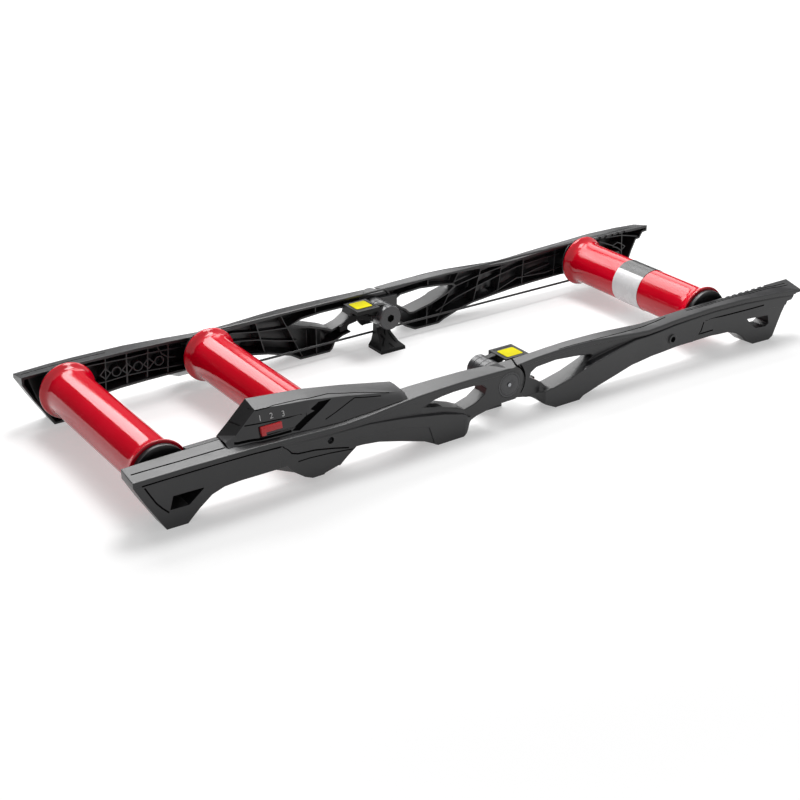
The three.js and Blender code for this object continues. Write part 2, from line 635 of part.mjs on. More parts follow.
function frameBody(half, bossR) {
  const xs = stations(half);
  const outside = solid(loft(xs.map((x) => outsideRing(half, x, 0))));
  let body = outside.intersect(aboveUnderside(half, 0));
  let hollow = solid(loft(xs.map((x) => insideRing(half, x))));
  hollow = hollow.intersect(aboveUnderside(half, WALL));
  for (const opening of half.openings) {
    body = body.subtract(solid(prism(opening, SHALLOW_Y, DEEP_Y)));
    hollow = hollow.subtract(solid(prism(offset(opening, WALL), SHALLOW_Y, DEEP_Y)));
  }
  for (const rib of ribs(half)) hollow = hollow.subtract(rib);
  for (const x of half.axles) {
    hollow = hollow.subtract(solid(rod(AXLE_BOSS_R, SHALLOW_Y - OVERRUN, DEEP_Y, x, DRUM_AXIS_Z)));
  }
  hollow = hollow.subtract(solid(rod(bossR, SHALLOW_Y - OVERRUN, DEEP_Y, 0, HINGE_Z, ROUND)));
  body = body.subtract(hollow);
  const sunk = solid(loft(xs.map((x) => outsideRing(half, x, PANEL_DEPTH))));
  body = body.subtract(solid(prism(half.panel, HINGE_FACE_Y - LIP, DEEP_Y)).subtract(sunk));
  for (const x of half.axles) body = axleSeat(body, x);
  return body;
}

// Boss and blind bore for one axle end; the middle axle's screw passes through
function axleSeat(body, x) {
  const seated = body
    .add(solid(rod(AXLE_BOSS_R, AXLE_BOSS_Y, OVERRUN, x, DRUM_AXIS_Z)))
    .subtract(solid(rod(AXLE_R + FIT_GAP, AXLE_BOSS_Y - OVERRUN, AXLE_END_Y + FIT_GAP, x, DRUM_AXIS_Z)));
  if (x !== MIDDLE_X) return seated;
  return seated
    .subtract(solid(rod(SCREW_R + FIT_GAP, AXLE_BOSS_Y, DEEP_Y, x, DRUM_AXIS_Z, TINY_ROUND)))
    .subtract(solid(rod(SCREW_HEAD_R + FIT_GAP, SCREW_SEAT_Y, DEEP_Y, x, DRUM_AXIS_Z)));
}

// Lower quarter of the rear half that the front half passes through while it folds; the front
// half's arm passes close to the inner face, through the boss's edge too
function sweepSector() {
  const [from, to] = [THREE.MathUtils.degToRad(198), THREE.MathUtils.degToRad(275)];
  const points = [[0, HINGE_Z]];
  const steps = 8;
  for (let i = 0; i <= steps; i += 1) {
    const a = from + ((to - from) * i) / steps;
    points.push([SWEEP_R * Math.cos(a), HINGE_Z + SWEEP_R * Math.sin(a)]);
  }
  const armPath = solid(prism(points, SHALLOW_Y, EAR_OUTER_Y + FIT_GAP));
  return solid(prism(points, SHALLOW_Y, SWEEP_Y)).subtract(hingeCone(0)).add(armPath);
}

function rearHalf() {
  const behind = solid(block(-HALF_LENGTH - OVERRUN, 0, SHALLOW_Y - OVERRUN, DEEP_Y, -OVERRUN, HIGH_Z));
  const earSpace = rod(EAR_R + EAR_CLEARANCE, SHALLOW_Y, EAR_OUTER_Y + FIT_GAP, 0, HINGE_Z);
  const armSpace = block(
    0, BOSS_INNER_R + OVERRUN, SHALLOW_Y, EAR_OUTER_Y + FIT_GAP, 0, HINGE_Z + EAR_R + FIT_GAP,
  );
  const discR = DISC_R + FIT_GAP;
  return frameBody(REAR_HALF, BOSS_INNER_R)
    .intersect(behind.add(hingeCone(0)))
    .subtract(sweepSector())
    .subtract(solid(earSpace))
    .subtract(solid(armSpace))
    .subtract(solid(rod(PIN_R + FIT_GAP, SHALLOW_Y, DEEP_Y, 0, HINGE_Z)))
    .subtract(solid(rod(discR, DISC_INNER_Y - FIT_GAP, DEEP_Y, 0, HINGE_Z, ROUND)));
}

function frontHalf() {
  const [low, high] = [HINGE_Z - ARM_HALF_HEIGHT, HINGE_Z + ARM_HALF_HEIGHT];
  const ahead = solid(block(0, HALF_LENGTH + OVERRUN, SHALLOW_Y, DEEP_Y, -OVERRUN, HIGH_Z));
  const arm = solid(block(0, ARM_REACH, ARM_INNER_Y, EAR_OUTER_Y, low, high));
  const root = solid(block(ARM_ROOT_X, ARM_REACH, -WALL, ARM_ROOT_Y, low, high));
  const socket = hingeCone(SOCKET_GAP);
  let body = frameBody(FRONT_HALF, BOSS_INNER_R + SOCKET_GAP + WALL);
  body = body.intersect(ahead.add(solid(rod(AXLE_BOSS_R, AXLE_BOSS_Y, DEEP_Y, FRONT_X, DRUM_AXIS_Z))));
  for (let i = 0; i < NOTCH_COUNT; i += 1) {
    body = body.subtract(notch(FRONT_X + NOTCH_LEAD + i * NOTCH_SPACING));
  }
  const holeEndY = HINGE_FACE_Y - BLIND_HOLE_DEPTH;
  const holeBoss = rod(SCREW_HEAD_R + WALL, holeEndY - WALL, HINGE_FACE_Y, BLIND_HOLE_X, BLIND_HOLE_Z);
  const blindHole = rod(SCREW_HEAD_R, holeEndY, DEEP_Y, BLIND_HOLE_X, BLIND_HOLE_Z);
  return body
    .subtract(socket)
    .add(root.subtract(socket))
    .add(arm)
    .add(solid(holeBoss))
    .add(solid(rod(EAR_R, EAR_INNER_Y, EAR_OUTER_Y, 0, HINGE_Z, ROUND)))
    .subtract(solid(rod(PIN_R + FIT_GAP, EAR_INNER_Y - OVERRUN, DEEP_Y, 0, HINGE_Z)))
    .subtract(solid(blindHole));
}

// Place mark in the inner top edge beside the front drum
function notch(x) {
  const edgeZ = along(FRONT_TOP_SHARES, 1, x / HALF_LENGTH) * FRAME_HEIGHT;
  return solid(block(x, x + NOTCH_LENGTH, SHALLOW_Y, NOTCH_DEPTH, edgeZ - NOTCH_HEIGHT, HIGH_Z));
}

// Red tube with flared ends
function drum(x) {
  const bore = DRUM_R - DRUM_WALL;
  const start = DRUM_HALF_LENGTH - FLANGE_LENGTH;
  const flare = FLARE_SHARES.map(([rise, run]) => [
    DRUM_R + rise * (FLANGE_R - DRUM_R), start + run * FLANGE_LENGTH,
  ]);
  const farEnd = flare.map(([r, y]) => [r, -y]).reverse();
  const inner = [[bore, DRUM_HALF_LENGTH], [bore, -DRUM_HALF_LENGTH]];
  return lathe([...farEnd, ...flare, ...inner, farEnd[0]], x, DRUM_AXIS_Z);
}

// Black cap that closes a drum and holds its bearing; some carry the belt groove
function endCap(x, grooved) {
  const plugR = DRUM_R - DRUM_WALL - FIT_GAP;
  const seatR = BEARING_R + FIT_GAP;
  const seatEndY = BEARING_OUTER_Y + FIT_GAP;
  const faceInnerY = FIT_GAP - DRUM_END_INSET;
  const plugInnerY = faceInnerY - CAP_PLUG_LENGTH;
  const grooveR = BELT_R - BELT_THICKNESS / 2 - FIT_GAP;
  const grooveHalf = BELT_THICKNESS / 2 + BELT_SIDE_GAP;
  const groove = [
    [CAP_R, BELT_Y - grooveHalf], [grooveR, BELT_Y - grooveHalf], [grooveR, BELT_Y + grooveHalf],
    [CAP_R, BELT_Y + grooveHalf],
  ];
  const profile = [
    [CAP_EYE_R, seatEndY], [seatR, seatEndY], [seatR, plugInnerY], [plugR, plugInnerY],
    [plugR, faceInnerY], [CAP_R, faceInnerY], ...(grooved ? groove : []),
    [CAP_R, CAP_FACE_Y - CAP_CHAMFER], [CAP_R - CAP_CHAMFER, CAP_FACE_Y], [CAP_DISH_R, CAP_FACE_Y],
    [CAP_EYE_R, CAP_FACE_Y - CAP_DISH_DEPTH], [CAP_EYE_R, seatEndY],
  ];
  return lathe(profile, x, DRUM_AXIS_Z, CAP_ROUND);
}

function bearing(x) {
  const innerY = BEARING_OUTER_Y - BEARING_WIDTH;
  const eyeR = AXLE_R + FIT_GAP;
  const profile = [
    [eyeR, innerY], [BEARING_R, innerY], [BEARING_R, BEARING_OUTER_Y], [eyeR, BEARING_OUTER_Y],
    [eyeR, innerY],
  ];
  return lathe(profile, x, DRUM_AXIS_Z, SMALL_ROUND);
}

// Axle across the whole width; the middle one is bored for its screws
function axle(x) {
  const endY = INNER_HALF_WIDTH + AXLE_END_Y;
  const boreEndY = endY - SCREW_LENGTH - FIT_GAP;
  const boreR = SCREW_R + FIT_GAP;
  const bored = [[AXLE_R, endY], [boreR, endY], [boreR, boreEndY], [0, boreEndY]];
  const half = x === MIDDLE_X ? bored : [[AXLE_R, endY], [0, endY]];
  const otherHalf = half.map(([r, y]) => [r, -y]).reverse();
  return lathe([...otherHalf, ...half], x, DRUM_AXIS_Z, TINY_ROUND);
}

function axleScrew(x) {
  const tipY = AXLE_END_Y - SCREW_LENGTH;
  const seatY = SCREW_SEAT_Y + FIT_GAP;
  const topY = seatY + SCREW_HEAD_HEIGHT;
  const profile = [
    [0, tipY], [SCREW_R, tipY], [SCREW_R, seatY], [SCREW_HEAD_R, seatY], [SCREW_HEAD_R, topY],
    [SCREW_SOCKET_R, topY], [SCREW_SOCKET_R, topY - SCREW_SOCKET_DEPTH], [0, topY - SCREW_SOCKET_DEPTH],
  ];
  return lathe(profile, x, DRUM_AXIS_Z, TINY_ROUND);
}

// Belt as a long loop round the grooves of the middle and the front drum
function belt() {
  const loop = (r) => {
    const points = [];
    const steps = 20;
    for (const [x, from] of [[FRONT_X, -0.5], [MIDDLE_X, 0.5]]) {
      for (let i = 0; i <= steps; i += 1) {
        const a = Math.PI * (from + i / steps);
        points.push(new THREE.Vector2(x + r * Math.cos(a), DRUM_AXIS_Z + r * Math.sin(a)));
      }
    }
    return points;
  };
  const shape = new THREE.Shape(loop(BELT_R + BELT_THICKNESS / 2));
  shape.holes.push(new THREE.Path(loop(BELT_R - BELT_THICKNESS / 2)));
  const geometry = new THREE.ExtrudeGeometry(shape, { depth: BELT_THICKNESS, bevelEnabled: false });
  geometry.rotateX(Math.PI / 2);
  geometry.translate(0, BELT_Y + BELT_THICKNESS / 2, 0);
  return geometry;
}

function drumBand() {
  const innerR = DRUM_R + FIT_GAP;
  const outerR = innerR + BAND_THICKNESS;
  const [y0, y1] = [BAND_CENTRE_Y - BAND_WIDTH / 2, BAND_CENTRE_Y + BAND_WIDTH / 2];
  return lathe([[innerR, y0], [outerR, y0], [outerR, y1], [innerR, y1], [innerR, y0]], FRONT_X, DRUM_AXIS_Z);
}

function hingePin() {
  const profile = [
    [0, PIN_INNER_Y], [PIN_R, PIN_INNER_Y], [PIN_R, PIN_SHOULDER_Y], [RIVET_R, PIN_SHOULDER_Y],
    [RIVET_R, RIVET_Y], [0, RIVET_Y],
  ];
  return lathe(profile, 0, HINGE_Z, SMALL_ROUND);
}

function hingeDisc() {
  const eyeR = RIVET_R + FIT_GAP;
  const profile = [
    [eyeR, DISC_INNER_Y], [DISC_R, DISC_INNER_Y], [DISC_R, DISC_OUTER_Y - DISC_CHAMFER],
    [DISC_R - DISC_CHAMFER, DISC_OUTER_Y], [eyeR, DISC_OUTER_Y], [eyeR, DISC_INNER_Y],
  ];
  return lathe(profile, 0, HINGE_Z);
}

function barrelCap() {
  const boreR = PIN_R + FIT_GAP;
  const boreEndY = PIN_INNER_Y - FIT_GAP;
  const profile = [
    [0, BARREL_CAP_INNER_Y], [EAR_R - BARREL_CHAMFER, BARREL_CAP_INNER_Y],
    [EAR_R, BARREL_CAP_INNER_Y + BARREL_CHAMFER], [EAR_R, BARREL_CAP_OUTER_Y],
    [boreR, BARREL_CAP_OUTER_Y], [boreR, boreEndY], [0, boreEndY],
  ];
  const recessEndY = BARREL_CAP_INNER_Y + HEX_DEPTH;
  const hex = rod(HEX_R, BARREL_CAP_INNER_Y - OVERRUN, recessEndY, 0, HINGE_Z, 6);
  return geometryOf(solid(lathe(profile, 0, HINGE_Z)).subtract(solid(hex)));
}

// Sleeve, arm and flat plate with a turned-down rim and a shallow seat for the patch
function releaseLever() {
  const plateBottomZ = PLATE_TOP_Z - PLATE_THICKNESS;
  const rimBottomZ = PLATE_TOP_Z - PLATE_SKIRT;
  const [x0, x1] = [-PLATE_FAR_X, -PLATE_NEAR_X];
  const plate = solid(block(x0, x1, PLATE_INNER_Y, PLATE_OUTER_Y, rimBottomZ, PLATE_TOP_Z));
  const under = solid(block(
    x0 + PLATE_THICKNESS, x1 + OVERRUN, PLATE_INNER_Y + PLATE_THICKNESS, PLATE_OUTER_Y - PLATE_THICKNESS,
    rimBottomZ - OVERRUN, plateBottomZ,
  ));
  const patchSeat = solid(block(
    x0 + PATCH_INSET - FIT_GAP, x1 - PATCH_INSET + FIT_GAP, PLATE_INNER_Y + PATCH_INSET - FIT_GAP,
    PLATE_OUTER_Y - PATCH_INSET + FIT_GAP, PLATE_TOP_Z - PATCH_THICKNESS, PLATE_TOP_Z + OVERRUN,
  ));
  const rise = PLATE_TOP_Z - HINGE_Z;
  const armOutline = LEVER_ARM_SHARES.map(([x, z]) => [x * PLATE_FAR_X, HINGE_Z + z * rise]);
  const armY = SLEEVE_INNER_Y + LEVER_ARM_INSET;
  const arm = solid(prism(armOutline, armY, armY + LEVER_ARM_WIDTH));
  const lever = plate.subtract(under).subtract(patchSeat)
    .add(arm)
    .add(solid(rod(EAR_R, SLEEVE_INNER_Y, SLEEVE_OUTER_Y, 0, HINGE_Z, ROUND)))
    .subtract(solid(rod(PIN_R + FIT_GAP, SLEEVE_INNER_Y - OVERRUN, SLEEVE_OUTER_Y + OVERRUN, 0, HINGE_Z)));
  return geometryOf(lever);
}

function leverPatch() {
  const low = PLATE_TOP_Z - PATCH_THICKNESS + FIT_GAP;
  return block(
    -PLATE_FAR_X + PATCH_INSET, -PLATE_NEAR_X - PATCH_INSET, PLATE_INNER_Y + PATCH_INSET,
    PLATE_OUTER_Y - PATCH_INSET, low, low + PATCH_THICKNESS,
  );
}

// Flared leg under the hinge ring, with crossed ribs inside and a curved brace to the frame
function centreFoot() {
  const leg = (sunk) => solid(loft(FOOT_SHARES.map(([up, rear, front, spread]) => {
    const [x0, x1, z] = [-rear * FOOT_REAR, front * FOOT_FRONT, up * FOOT_TOP_Z];
    const innerY = RING_OUTER_Y - spread * FOOT_SPREAD + sunk;
    return [[x0, innerY, z], [x1, innerY, z], [x1, RING_OUTER_Y, z], [x0, RING_OUTER_Y, z]];
  }), [0, 1]));
  const reach = (share) => (share < 0 ? share * FOOT_REAR : share * FOOT_FRONT);
  let foot = leg(0);
  const core = leg(FOOT_POCKET);
  for (const shares of FOOT_RECESS_SHARES) {
    const outline = shares.map(([x, z]) => [reach(x), z * FOOT_TOP_Z]);
    const innerY = RING_OUTER_Y - FOOT_SPREAD - OVERRUN;
    foot = foot.subtract(solid(prism(outline, innerY, RING_OUTER_Y - WALL)).subtract(core));
  }
  const ringY = (RING_INNER_Y + RING_OUTER_Y) / 2;
  const path = new THREE.CatmullRomCurve3(BRACE_SHARES.map(([x, y, z]) => new THREE.Vector3(
    x * EAR_R, ringY + y * (BRACE_END_Y - ringY), HINGE_Z + z * EAR_R,
  )));
  const half = BRACE_THICKNESS / 2;
  const section = new THREE.Shape([
    new THREE.Vector2(-half, -half), new THREE.Vector2(half, -half), new THREE.Vector2(half, half),
    new THREE.Vector2(-half, half),
  ]);
  const brace = new THREE.ExtrudeGeometry(section, { steps: 10, extrudePath: path, bevelEnabled: false });
  const padOutline = BRACE_PAD_SHARES.map(([x, z]) => [x * EAR_R, HINGE_Z + z * EAR_R]);
  foot = foot.add(solid(rod(EAR_R, RING_INNER_Y, RING_OUTER_Y, 0, HINGE_Z, ROUND)))
    .add(solid(outward(positionsOnly(brace))))
    .add(solid(prism(padOutline, BRACE_PAD_Y, BRACE_END_Y)))
    .subtract(solid(rod(PIN_R + FIT_GAP, RING_INNER_Y - OVERRUN, RING_OUTER_Y + OVERRUN, 0, HINGE_Z)));
  return geometryOf(foot);
}

// Wedge-shaped housing on the flange over the middle drum
function resistanceCover() {
  const flange = (column, x) => along(REAR_TOP_SHARES, column, x / HALF_LENGTH) * FRAME_HEIGHT;
  const shell = (inset, deeper) => solid(loft(coverStations().map((x) => {
    const share = (x - COVER_REAR_X) / COVER_LENGTH;
    const top = straightAlong(COVER_TOP_SHARES, 1, share) * FRAME_HEIGHT;
    const [seatInner, seatOuter] = [flange(1, x) + FIT_GAP, flange(2, x) + FIT_GAP];
    const rise = Math.max(top - inset - seatInner, FIT_GAP);
    const fall = Math.min(COVER_TOP_FALL, rise / 2);
    return [
      [x, COVER_INNER_Y + inset, seatInner - deeper], [x, COVER_INNER_Y + inset, seatInner + rise],
      [x, COVER_TOP_Y - inset, seatInner + rise - fall], [x, COVER_OUTER_Y - inset, seatOuter],
      [x, COVER_OUTER_Y - inset, seatOuter - deeper],
    ];
  })));
  const outer = shell(0, 0).subtract(flangeSolid());
  const shelf = solid(loft([SHELF_REAR_X, ...coverStations()].map((x) => {
    const [low, high] = [flange(1, x) - SHELF_THICKNESS, flange(1, x) + FIT_GAP];
    return [[x, COVER_INNER_Y, low], [x, COVER_INNER_Y, high], [x, -FIT_GAP, high], [x, -FIT_GAP, low]];
  })));
  const hollow = shell(COVER_WALL, SHELF_THICKNESS + OVERRUN);
  const carrierTopZ = CARRIER_LOW_Z + CARRIER_HEIGHT + FIT_GAP;
  const carrierSpace = block(
    MIDDLE_X - CARRIER_HALF_X - EAR_CLEARANCE, MIDDLE_X + CARRIER_HALF_X + EAR_CLEARANCE,
    COVER_INNER_Y - OVERRUN, 0, 0, carrierTopZ,
  );
  const discSpace = rod(
    BRAKE_R + EAR_CLEARANCE, SHALLOW_Y - OVERRUN, BRAKE_INNER_Y + BRAKE_THICKNESS + FIT_GAP, MIDDLE_X,
    DRUM_AXIS_Z, ROUND,
  );
  const channel = channelBar(
    SLIDER_REAR_X - FIT_GAP, SLIDER_REAR_X + SLIDER_LENGTH + SLIDER_TRAVEL + FIT_GAP, 0,
    SLIDER_THICKNESS + OVERRUN, FIT_GAP,
  );
  return geometryOf(outer.subtract(hollow).add(shelf)
    .subtract(solid(carrierSpace)).subtract(solid(discSpace)).subtract(channel));
}

function coverStations() {
  return COVER_TOP_SHARES.map(([share]) => COVER_REAR_X + share * COVER_LENGTH);
}

// Everything below the flange's upper face, for shaping pieces that sit on it
function flangeSolid() {
  return solid(loft(stations(REAR_HALF).map((x) => {
    const share = x / HALF_LENGTH;
    const [inner, outer] = [1, 2].map((column) => along(REAR_TOP_SHARES, column, share) * FRAME_HEIGHT);
    const outerY = along(REAR_TOP_SHARES, 3, share) * FRAME_DEPTH;
    return [
      [x, -FIT_GAP, -OVERRUN], [x, -FIT_GAP, inner + FIT_GAP], [x, outerY, outer + FIT_GAP],
      [x, outerY, -OVERRUN],
    ];
  })));
}

// Bar along X that leans with the cover's face, between two distances off the channel's floor
function channelBar(x0, x1, near, far, grow) {
  const lowZ = FRAME_HEIGHT + SLIDER_LIFT - grow;
  const highZ = FRAME_HEIGHT + SLIDER_LIFT + SLIDER_HEIGHT + grow;
  const [lowY, highY] = [FRAME_DEPTH - CHANNEL_LOW_INSET, FRAME_DEPTH - CHANNEL_HIGH_INSET];
  const ring = (x) => [
    [x, lowY + near, lowZ], [x, highY + near, highZ], [x, highY + far, highZ], [x, lowY + far, lowZ],
  ];
  return solid(loft([ring(x0), ring(x1)]));
}

function resistanceSlider() {
  const endX = SLIDER_REAR_X + SLIDER_LENGTH;
  return geometryOf(channelBar(SLIDER_REAR_X, endX, FIT_GAP, FIT_GAP + SLIDER_THICKNESS, 0));
}

function brakeDisc() {
  const [y0, y1, eyeR] = [BRAKE_INNER_Y, BRAKE_INNER_Y + BRAKE_THICKNESS, AXLE_R + EAR_CLEARANCE];
  return lathe([[eyeR, y0], [BRAKE_R, y0], [BRAKE_R, y1], [eyeR, y1], [eyeR, y0]], MIDDLE_X, DRUM_AXIS_Z);
}

const magnetX = (i) => MIDDLE_X + (i - (MAGNET_COUNT - 1) / 2) * MAGNET_SPACING;
const MAGNET_Z = CARRIER_LOW_Z + CARRIER_HEIGHT / 2;

function magnetCarrier() {
  let carrier = solid(block(
    MIDDLE_X - CARRIER_HALF_X, MIDDLE_X + CARRIER_HALF_X, CARRIER_INNER_Y, CARRIER_OUTER_Y,
    CARRIER_LOW_Z, CARRIER_LOW_Z + CARRIER_HEIGHT,
  ));
  for (let i = 0; i < MAGNET_COUNT; i += 1) {
    const seatEnd = CARRIER_INNER_Y + MAGNET_THICKNESS + 2 * FIT_GAP;
    const seat = rod(MAGNET_R + FIT_GAP, SHALLOW_Y - OVERRUN, seatEnd, magnetX(i), MAGNET_Z);
    carrier = carrier.subtract(solid(seat));
  }
  return geometryOf(carrier);
}

function magnet(i) {
  const y0 = CARRIER_INNER_Y + FIT_GAP;
  return rod(MAGNET_R, y0, y0 + MAGNET_THICKNESS, magnetX(i), MAGNET_Z, SMALL_ROUND);
}

addPair("frame_rear", geometryOf(rearHalf()), "frame");
addPair("frame_front", geometryOf(frontHalf()), "frame");

for (const [place, x] of [["rear", REAR_X], ["middle", MIDDLE_X], ["front", FRONT_X]]) {
  add(`${place}_drum`, drum(x), "drum");
  add(`${place}_axle`, axle(x), "steel");
  addLeft(`${place}_cap_left`, endCap(x, place !== "rear"), "cap");
  addRight(`${place}_cap_right`, endCap(x, false), "cap");
  addPair(`${place}_bearing`, bearing(x), "steel");
}
addPair("middle_screw", axleScrew(MIDDLE_X), "steel");
addLeft("drive_belt", belt(), "belt");
add("drum_band", drumBand(), "band");

addPair("hinge_pin", hingePin(), "steel");
addPair("hinge_disc", hingeDisc(), "barrel");
addPair("barrel_cap", barrelCap(), "barrel");
addTurnedPair("lever", releaseLever(), "barrel");
addTurnedPair("lever_patch", leverPatch(), "patch");
addTurnedPair("centre_foot", centreFoot(), "cap");

addRight("resistance_cover", resistanceCover(), "cover");
addRight("resistance_slider", resistanceSlider(), "slider");
addRight("brake_disc", brakeDisc(), "aluminium");
addRight("magnet_carrier", magnetCarrier(), "cap");
for (let i = 0; i < MAGNET_COUNT; i += 1) addRight(`magnet_${i + 1}`, magnet(i), "magnet");

export default group;
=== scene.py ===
# %% [markdown]
# # Folding bicycle rollers
# Two long moulded side frames carry three red drums. This file dresses the solid model: it keeps
# every piece where the model has it, gives each one a real finish, and adds the fine detail that
# a moulding, a turned part or a rubber cord shows from close by.

# %% Load the solid model
import json
import math
import bmesh
import bpy
from mathutils import Euler, Matrix, Vector
from mathutils.bvhtree import BVHTree
from mathutils.kdtree import KDTree


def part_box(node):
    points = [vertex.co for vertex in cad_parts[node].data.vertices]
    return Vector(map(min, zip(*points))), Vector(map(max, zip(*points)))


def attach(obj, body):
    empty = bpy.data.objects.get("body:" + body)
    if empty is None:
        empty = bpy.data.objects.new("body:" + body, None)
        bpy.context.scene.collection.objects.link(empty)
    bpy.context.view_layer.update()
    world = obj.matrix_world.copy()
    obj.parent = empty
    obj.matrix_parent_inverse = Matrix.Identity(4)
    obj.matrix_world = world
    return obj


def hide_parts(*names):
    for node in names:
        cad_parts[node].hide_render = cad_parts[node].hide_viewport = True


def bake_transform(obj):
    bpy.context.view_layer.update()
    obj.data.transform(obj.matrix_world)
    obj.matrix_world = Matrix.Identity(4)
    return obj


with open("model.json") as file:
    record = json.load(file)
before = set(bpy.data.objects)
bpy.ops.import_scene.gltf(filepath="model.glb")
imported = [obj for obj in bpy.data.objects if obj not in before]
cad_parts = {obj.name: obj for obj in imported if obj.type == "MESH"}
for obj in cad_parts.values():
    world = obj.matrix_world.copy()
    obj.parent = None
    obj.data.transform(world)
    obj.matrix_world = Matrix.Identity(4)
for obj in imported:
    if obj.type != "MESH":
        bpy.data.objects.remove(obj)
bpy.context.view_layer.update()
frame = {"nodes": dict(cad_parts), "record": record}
NODES = frame["nodes"]
MM = 0.001
print("loaded", len(NODES), "solids")

# %% [markdown]
# ## Camera
# The photograph was taken from the rear right, about a quarter of a right angle above the floor.
# The lens and place below were fitted to the edges of the frames and drums.

# %% Camera
LENS_MM = 67.8
CAMERA_PLACE = Vector((-1.4635, -2.0728, 1.1421))
AZIMUTH, ELEVATION, ROLL = math.radians(-33.881), math.radians(25.174), math.radians(-0.252)

camera_data = bpy.data.cameras.new("camera")
camera_data.lens = LENS_MM
camera_data.sensor_width = 36
camera = bpy.data.objects.new("camera", camera_data)
bpy.context.collection.objects.link(camera)
turn = Euler((math.pi / 2 - ELEVATION, 0, AZIMUTH)).to_matrix() @ Matrix.Rotation(ROLL, 3, "Z")
camera.matrix_world = Matrix.Translation(CAMERA_PLACE) @ turn.to_4x4()
bpy.context.scene.camera = camera
bpy.context.scene.view_settings.view_transform = "Standard"
print("camera at", tuple(CAMERA_PLACE))

# %% [markdown]
# ## Tools for materials
# A colour picked from a screen is an sRGB value, while the shader wants linear light, so one
# function turns a hex value into linear numbers. One more adds a node with its settings and links.

# %% Colour and node helpers
def linear(hex_colour):
    parts = [int(hex_colour[i:i + 2], 16) / 255 for i in (1, 3, 5)]
    return tuple(p / 12.92 if p <= 0.04045 else ((p + 0.055) / 1.055) ** 2.4 for p in parts) + (1.0,)


def add_node(owner, kind, settings=None, links=None):
    """A node of that kind. Settings name its properties, its sockets or the stops of its colour
    ramp. Links name its input sockets."""
    node = owner.node_tree.nodes.new(kind)
    for key, value in (settings or {}).items():
        if key == "stops":
            for stop, (position, hex_colour) in zip(node.color_ramp.elements, value):
                stop.position, stop.color = position, linear(hex_colour)
        elif isinstance(key, int) or key in node.inputs:
            node.inputs[key].default_value = value
        else:
            setattr(node, key, value)
    for key, source in (links or {}).items():
        owner.node_tree.links.new(source, node.inputs[key])
    return node


def new_material(name):
    material = bpy.data.materials.new(name)
    material.use_nodes = True
    material.node_tree.nodes.clear()
    return material


def finish_material(material, shader):
    add_node(material, "ShaderNodeOutputMaterial", links={"Surface": shader.outputs[0]})
    return material


# A noise texture mostly stays within these values, so colour and roughness wander over them.
TONE_LOW, TONE_HIGH = 0.35, 0.65
NOISE_SPAN = {"From Min": 0.3, "From Max": 0.7}

# %% [markdown]
# ## Moulded plastic
# The side frames and the housing are injection moulded in glass-filled nylon. The tool is spark
# eroded, so the skin has a fine even grain of about 0.4 mm that scatters the light softly, and the
# flow of the plastic leaves faint cloudy patches. The grain is drawn at 1.1 mm, because the real
# one is too fine to show at this distance.

# %% Moulded plastics
def moulded_plastic(name, dark, light, grain_mm, roughness, bump=0.12, ior=1.53):
    material = new_material(name)
    place = add_node(material, "ShaderNodeTexCoord").outputs["Object"]
    cloud = add_node(material, "ShaderNodeTexNoise", {"Scale": 1 / (60 * MM), "Detail": 4.0},
                     {"Vector": place})
    grain = add_node(material, "ShaderNodeTexNoise", {"Scale": 1 / (grain_mm * MM), "Detail": 2.0},
                     {"Vector": place})
    colour = add_node(material, "ShaderNodeValToRGB", {"stops": [(TONE_LOW, dark), (TONE_HIGH, light)]},
                      {"Fac": cloud.outputs[0]}).outputs["Color"]
    rough = add_node(material, "ShaderNodeMapRange",
                     NOISE_SPAN | {"To Min": roughness - 0.06, "To Max": roughness + 0.06},
                     {"Value": grain.outputs[0]}).outputs["Result"]
    relief = add_node(material, "ShaderNodeBump", {"Strength": bump, "Distance": 0.15 * MM},
                      {"Height": grain.outputs[0]})
    shader = add_node(material, "ShaderNodeBsdfPrincipled", {"IOR": ior},
                      {"Base Color": colour, "Roughness": rough, "Normal": relief.outputs[0]})
    return finish_material(material, shader)


FRAME_NYLON = moulded_plastic("moulded nylon, charcoal", "#18181a", "#1d1d1f", 1.1, 0.34)
COVER_NYLON = moulded_plastic("moulded nylon, housing", "#1b1b1d", "#202022", 1.1, 0.34)
# Painted shade: a near-black nylon for the faces of cut grooves, slots and key holes, where shade falls.
PAINTED_SHADE_NYLON = moulded_plastic("moulded nylon, painted shade in grooves and holes", "#050505", "#080809", 1.1, 0.8,
                               0.12, 1.12)
# Black nylon of the levers and feet, also used as painted shade on the housing's rear end faces.
LEVER_NYLON_AND_END_SHADE = moulded_plastic("moulded nylon, black", "#0a0a0b", "#101011", 0.9, 0.42, 0.12, 1.3)
CAP_ABS = moulded_plastic("moulded ABS, black", "#0d0d0e", "#131315", 0.9, 0.34)
BARREL_NYLON = moulded_plastic("moulded nylon, grey", "#38393b", "#424245", 0.9, 0.22)
SLIDER_ABS = moulded_plastic("moulded ABS, red", "#d4242b", "#de2c33", 0.8, 0.3, 0.05)
NUMBER_INK = moulded_plastic("pad-printed ink, white", "#d8d8d8", "#e6e6e6", 0.5, 0.5, 0.03)
print("plastics:", FRAME_NYLON.name, COVER_NYLON.name, CAP_ABS.name, BARREL_NYLON.name, SLIDER_ABS.name)

# %% [markdown]
# ## Glossy red drums
# The drums are tubes with a thick wet-looking red coat. The coat is nearly a mirror, with a very
# slight orange peel of about 9 mm waves left by spraying, and the colour under it is deep.

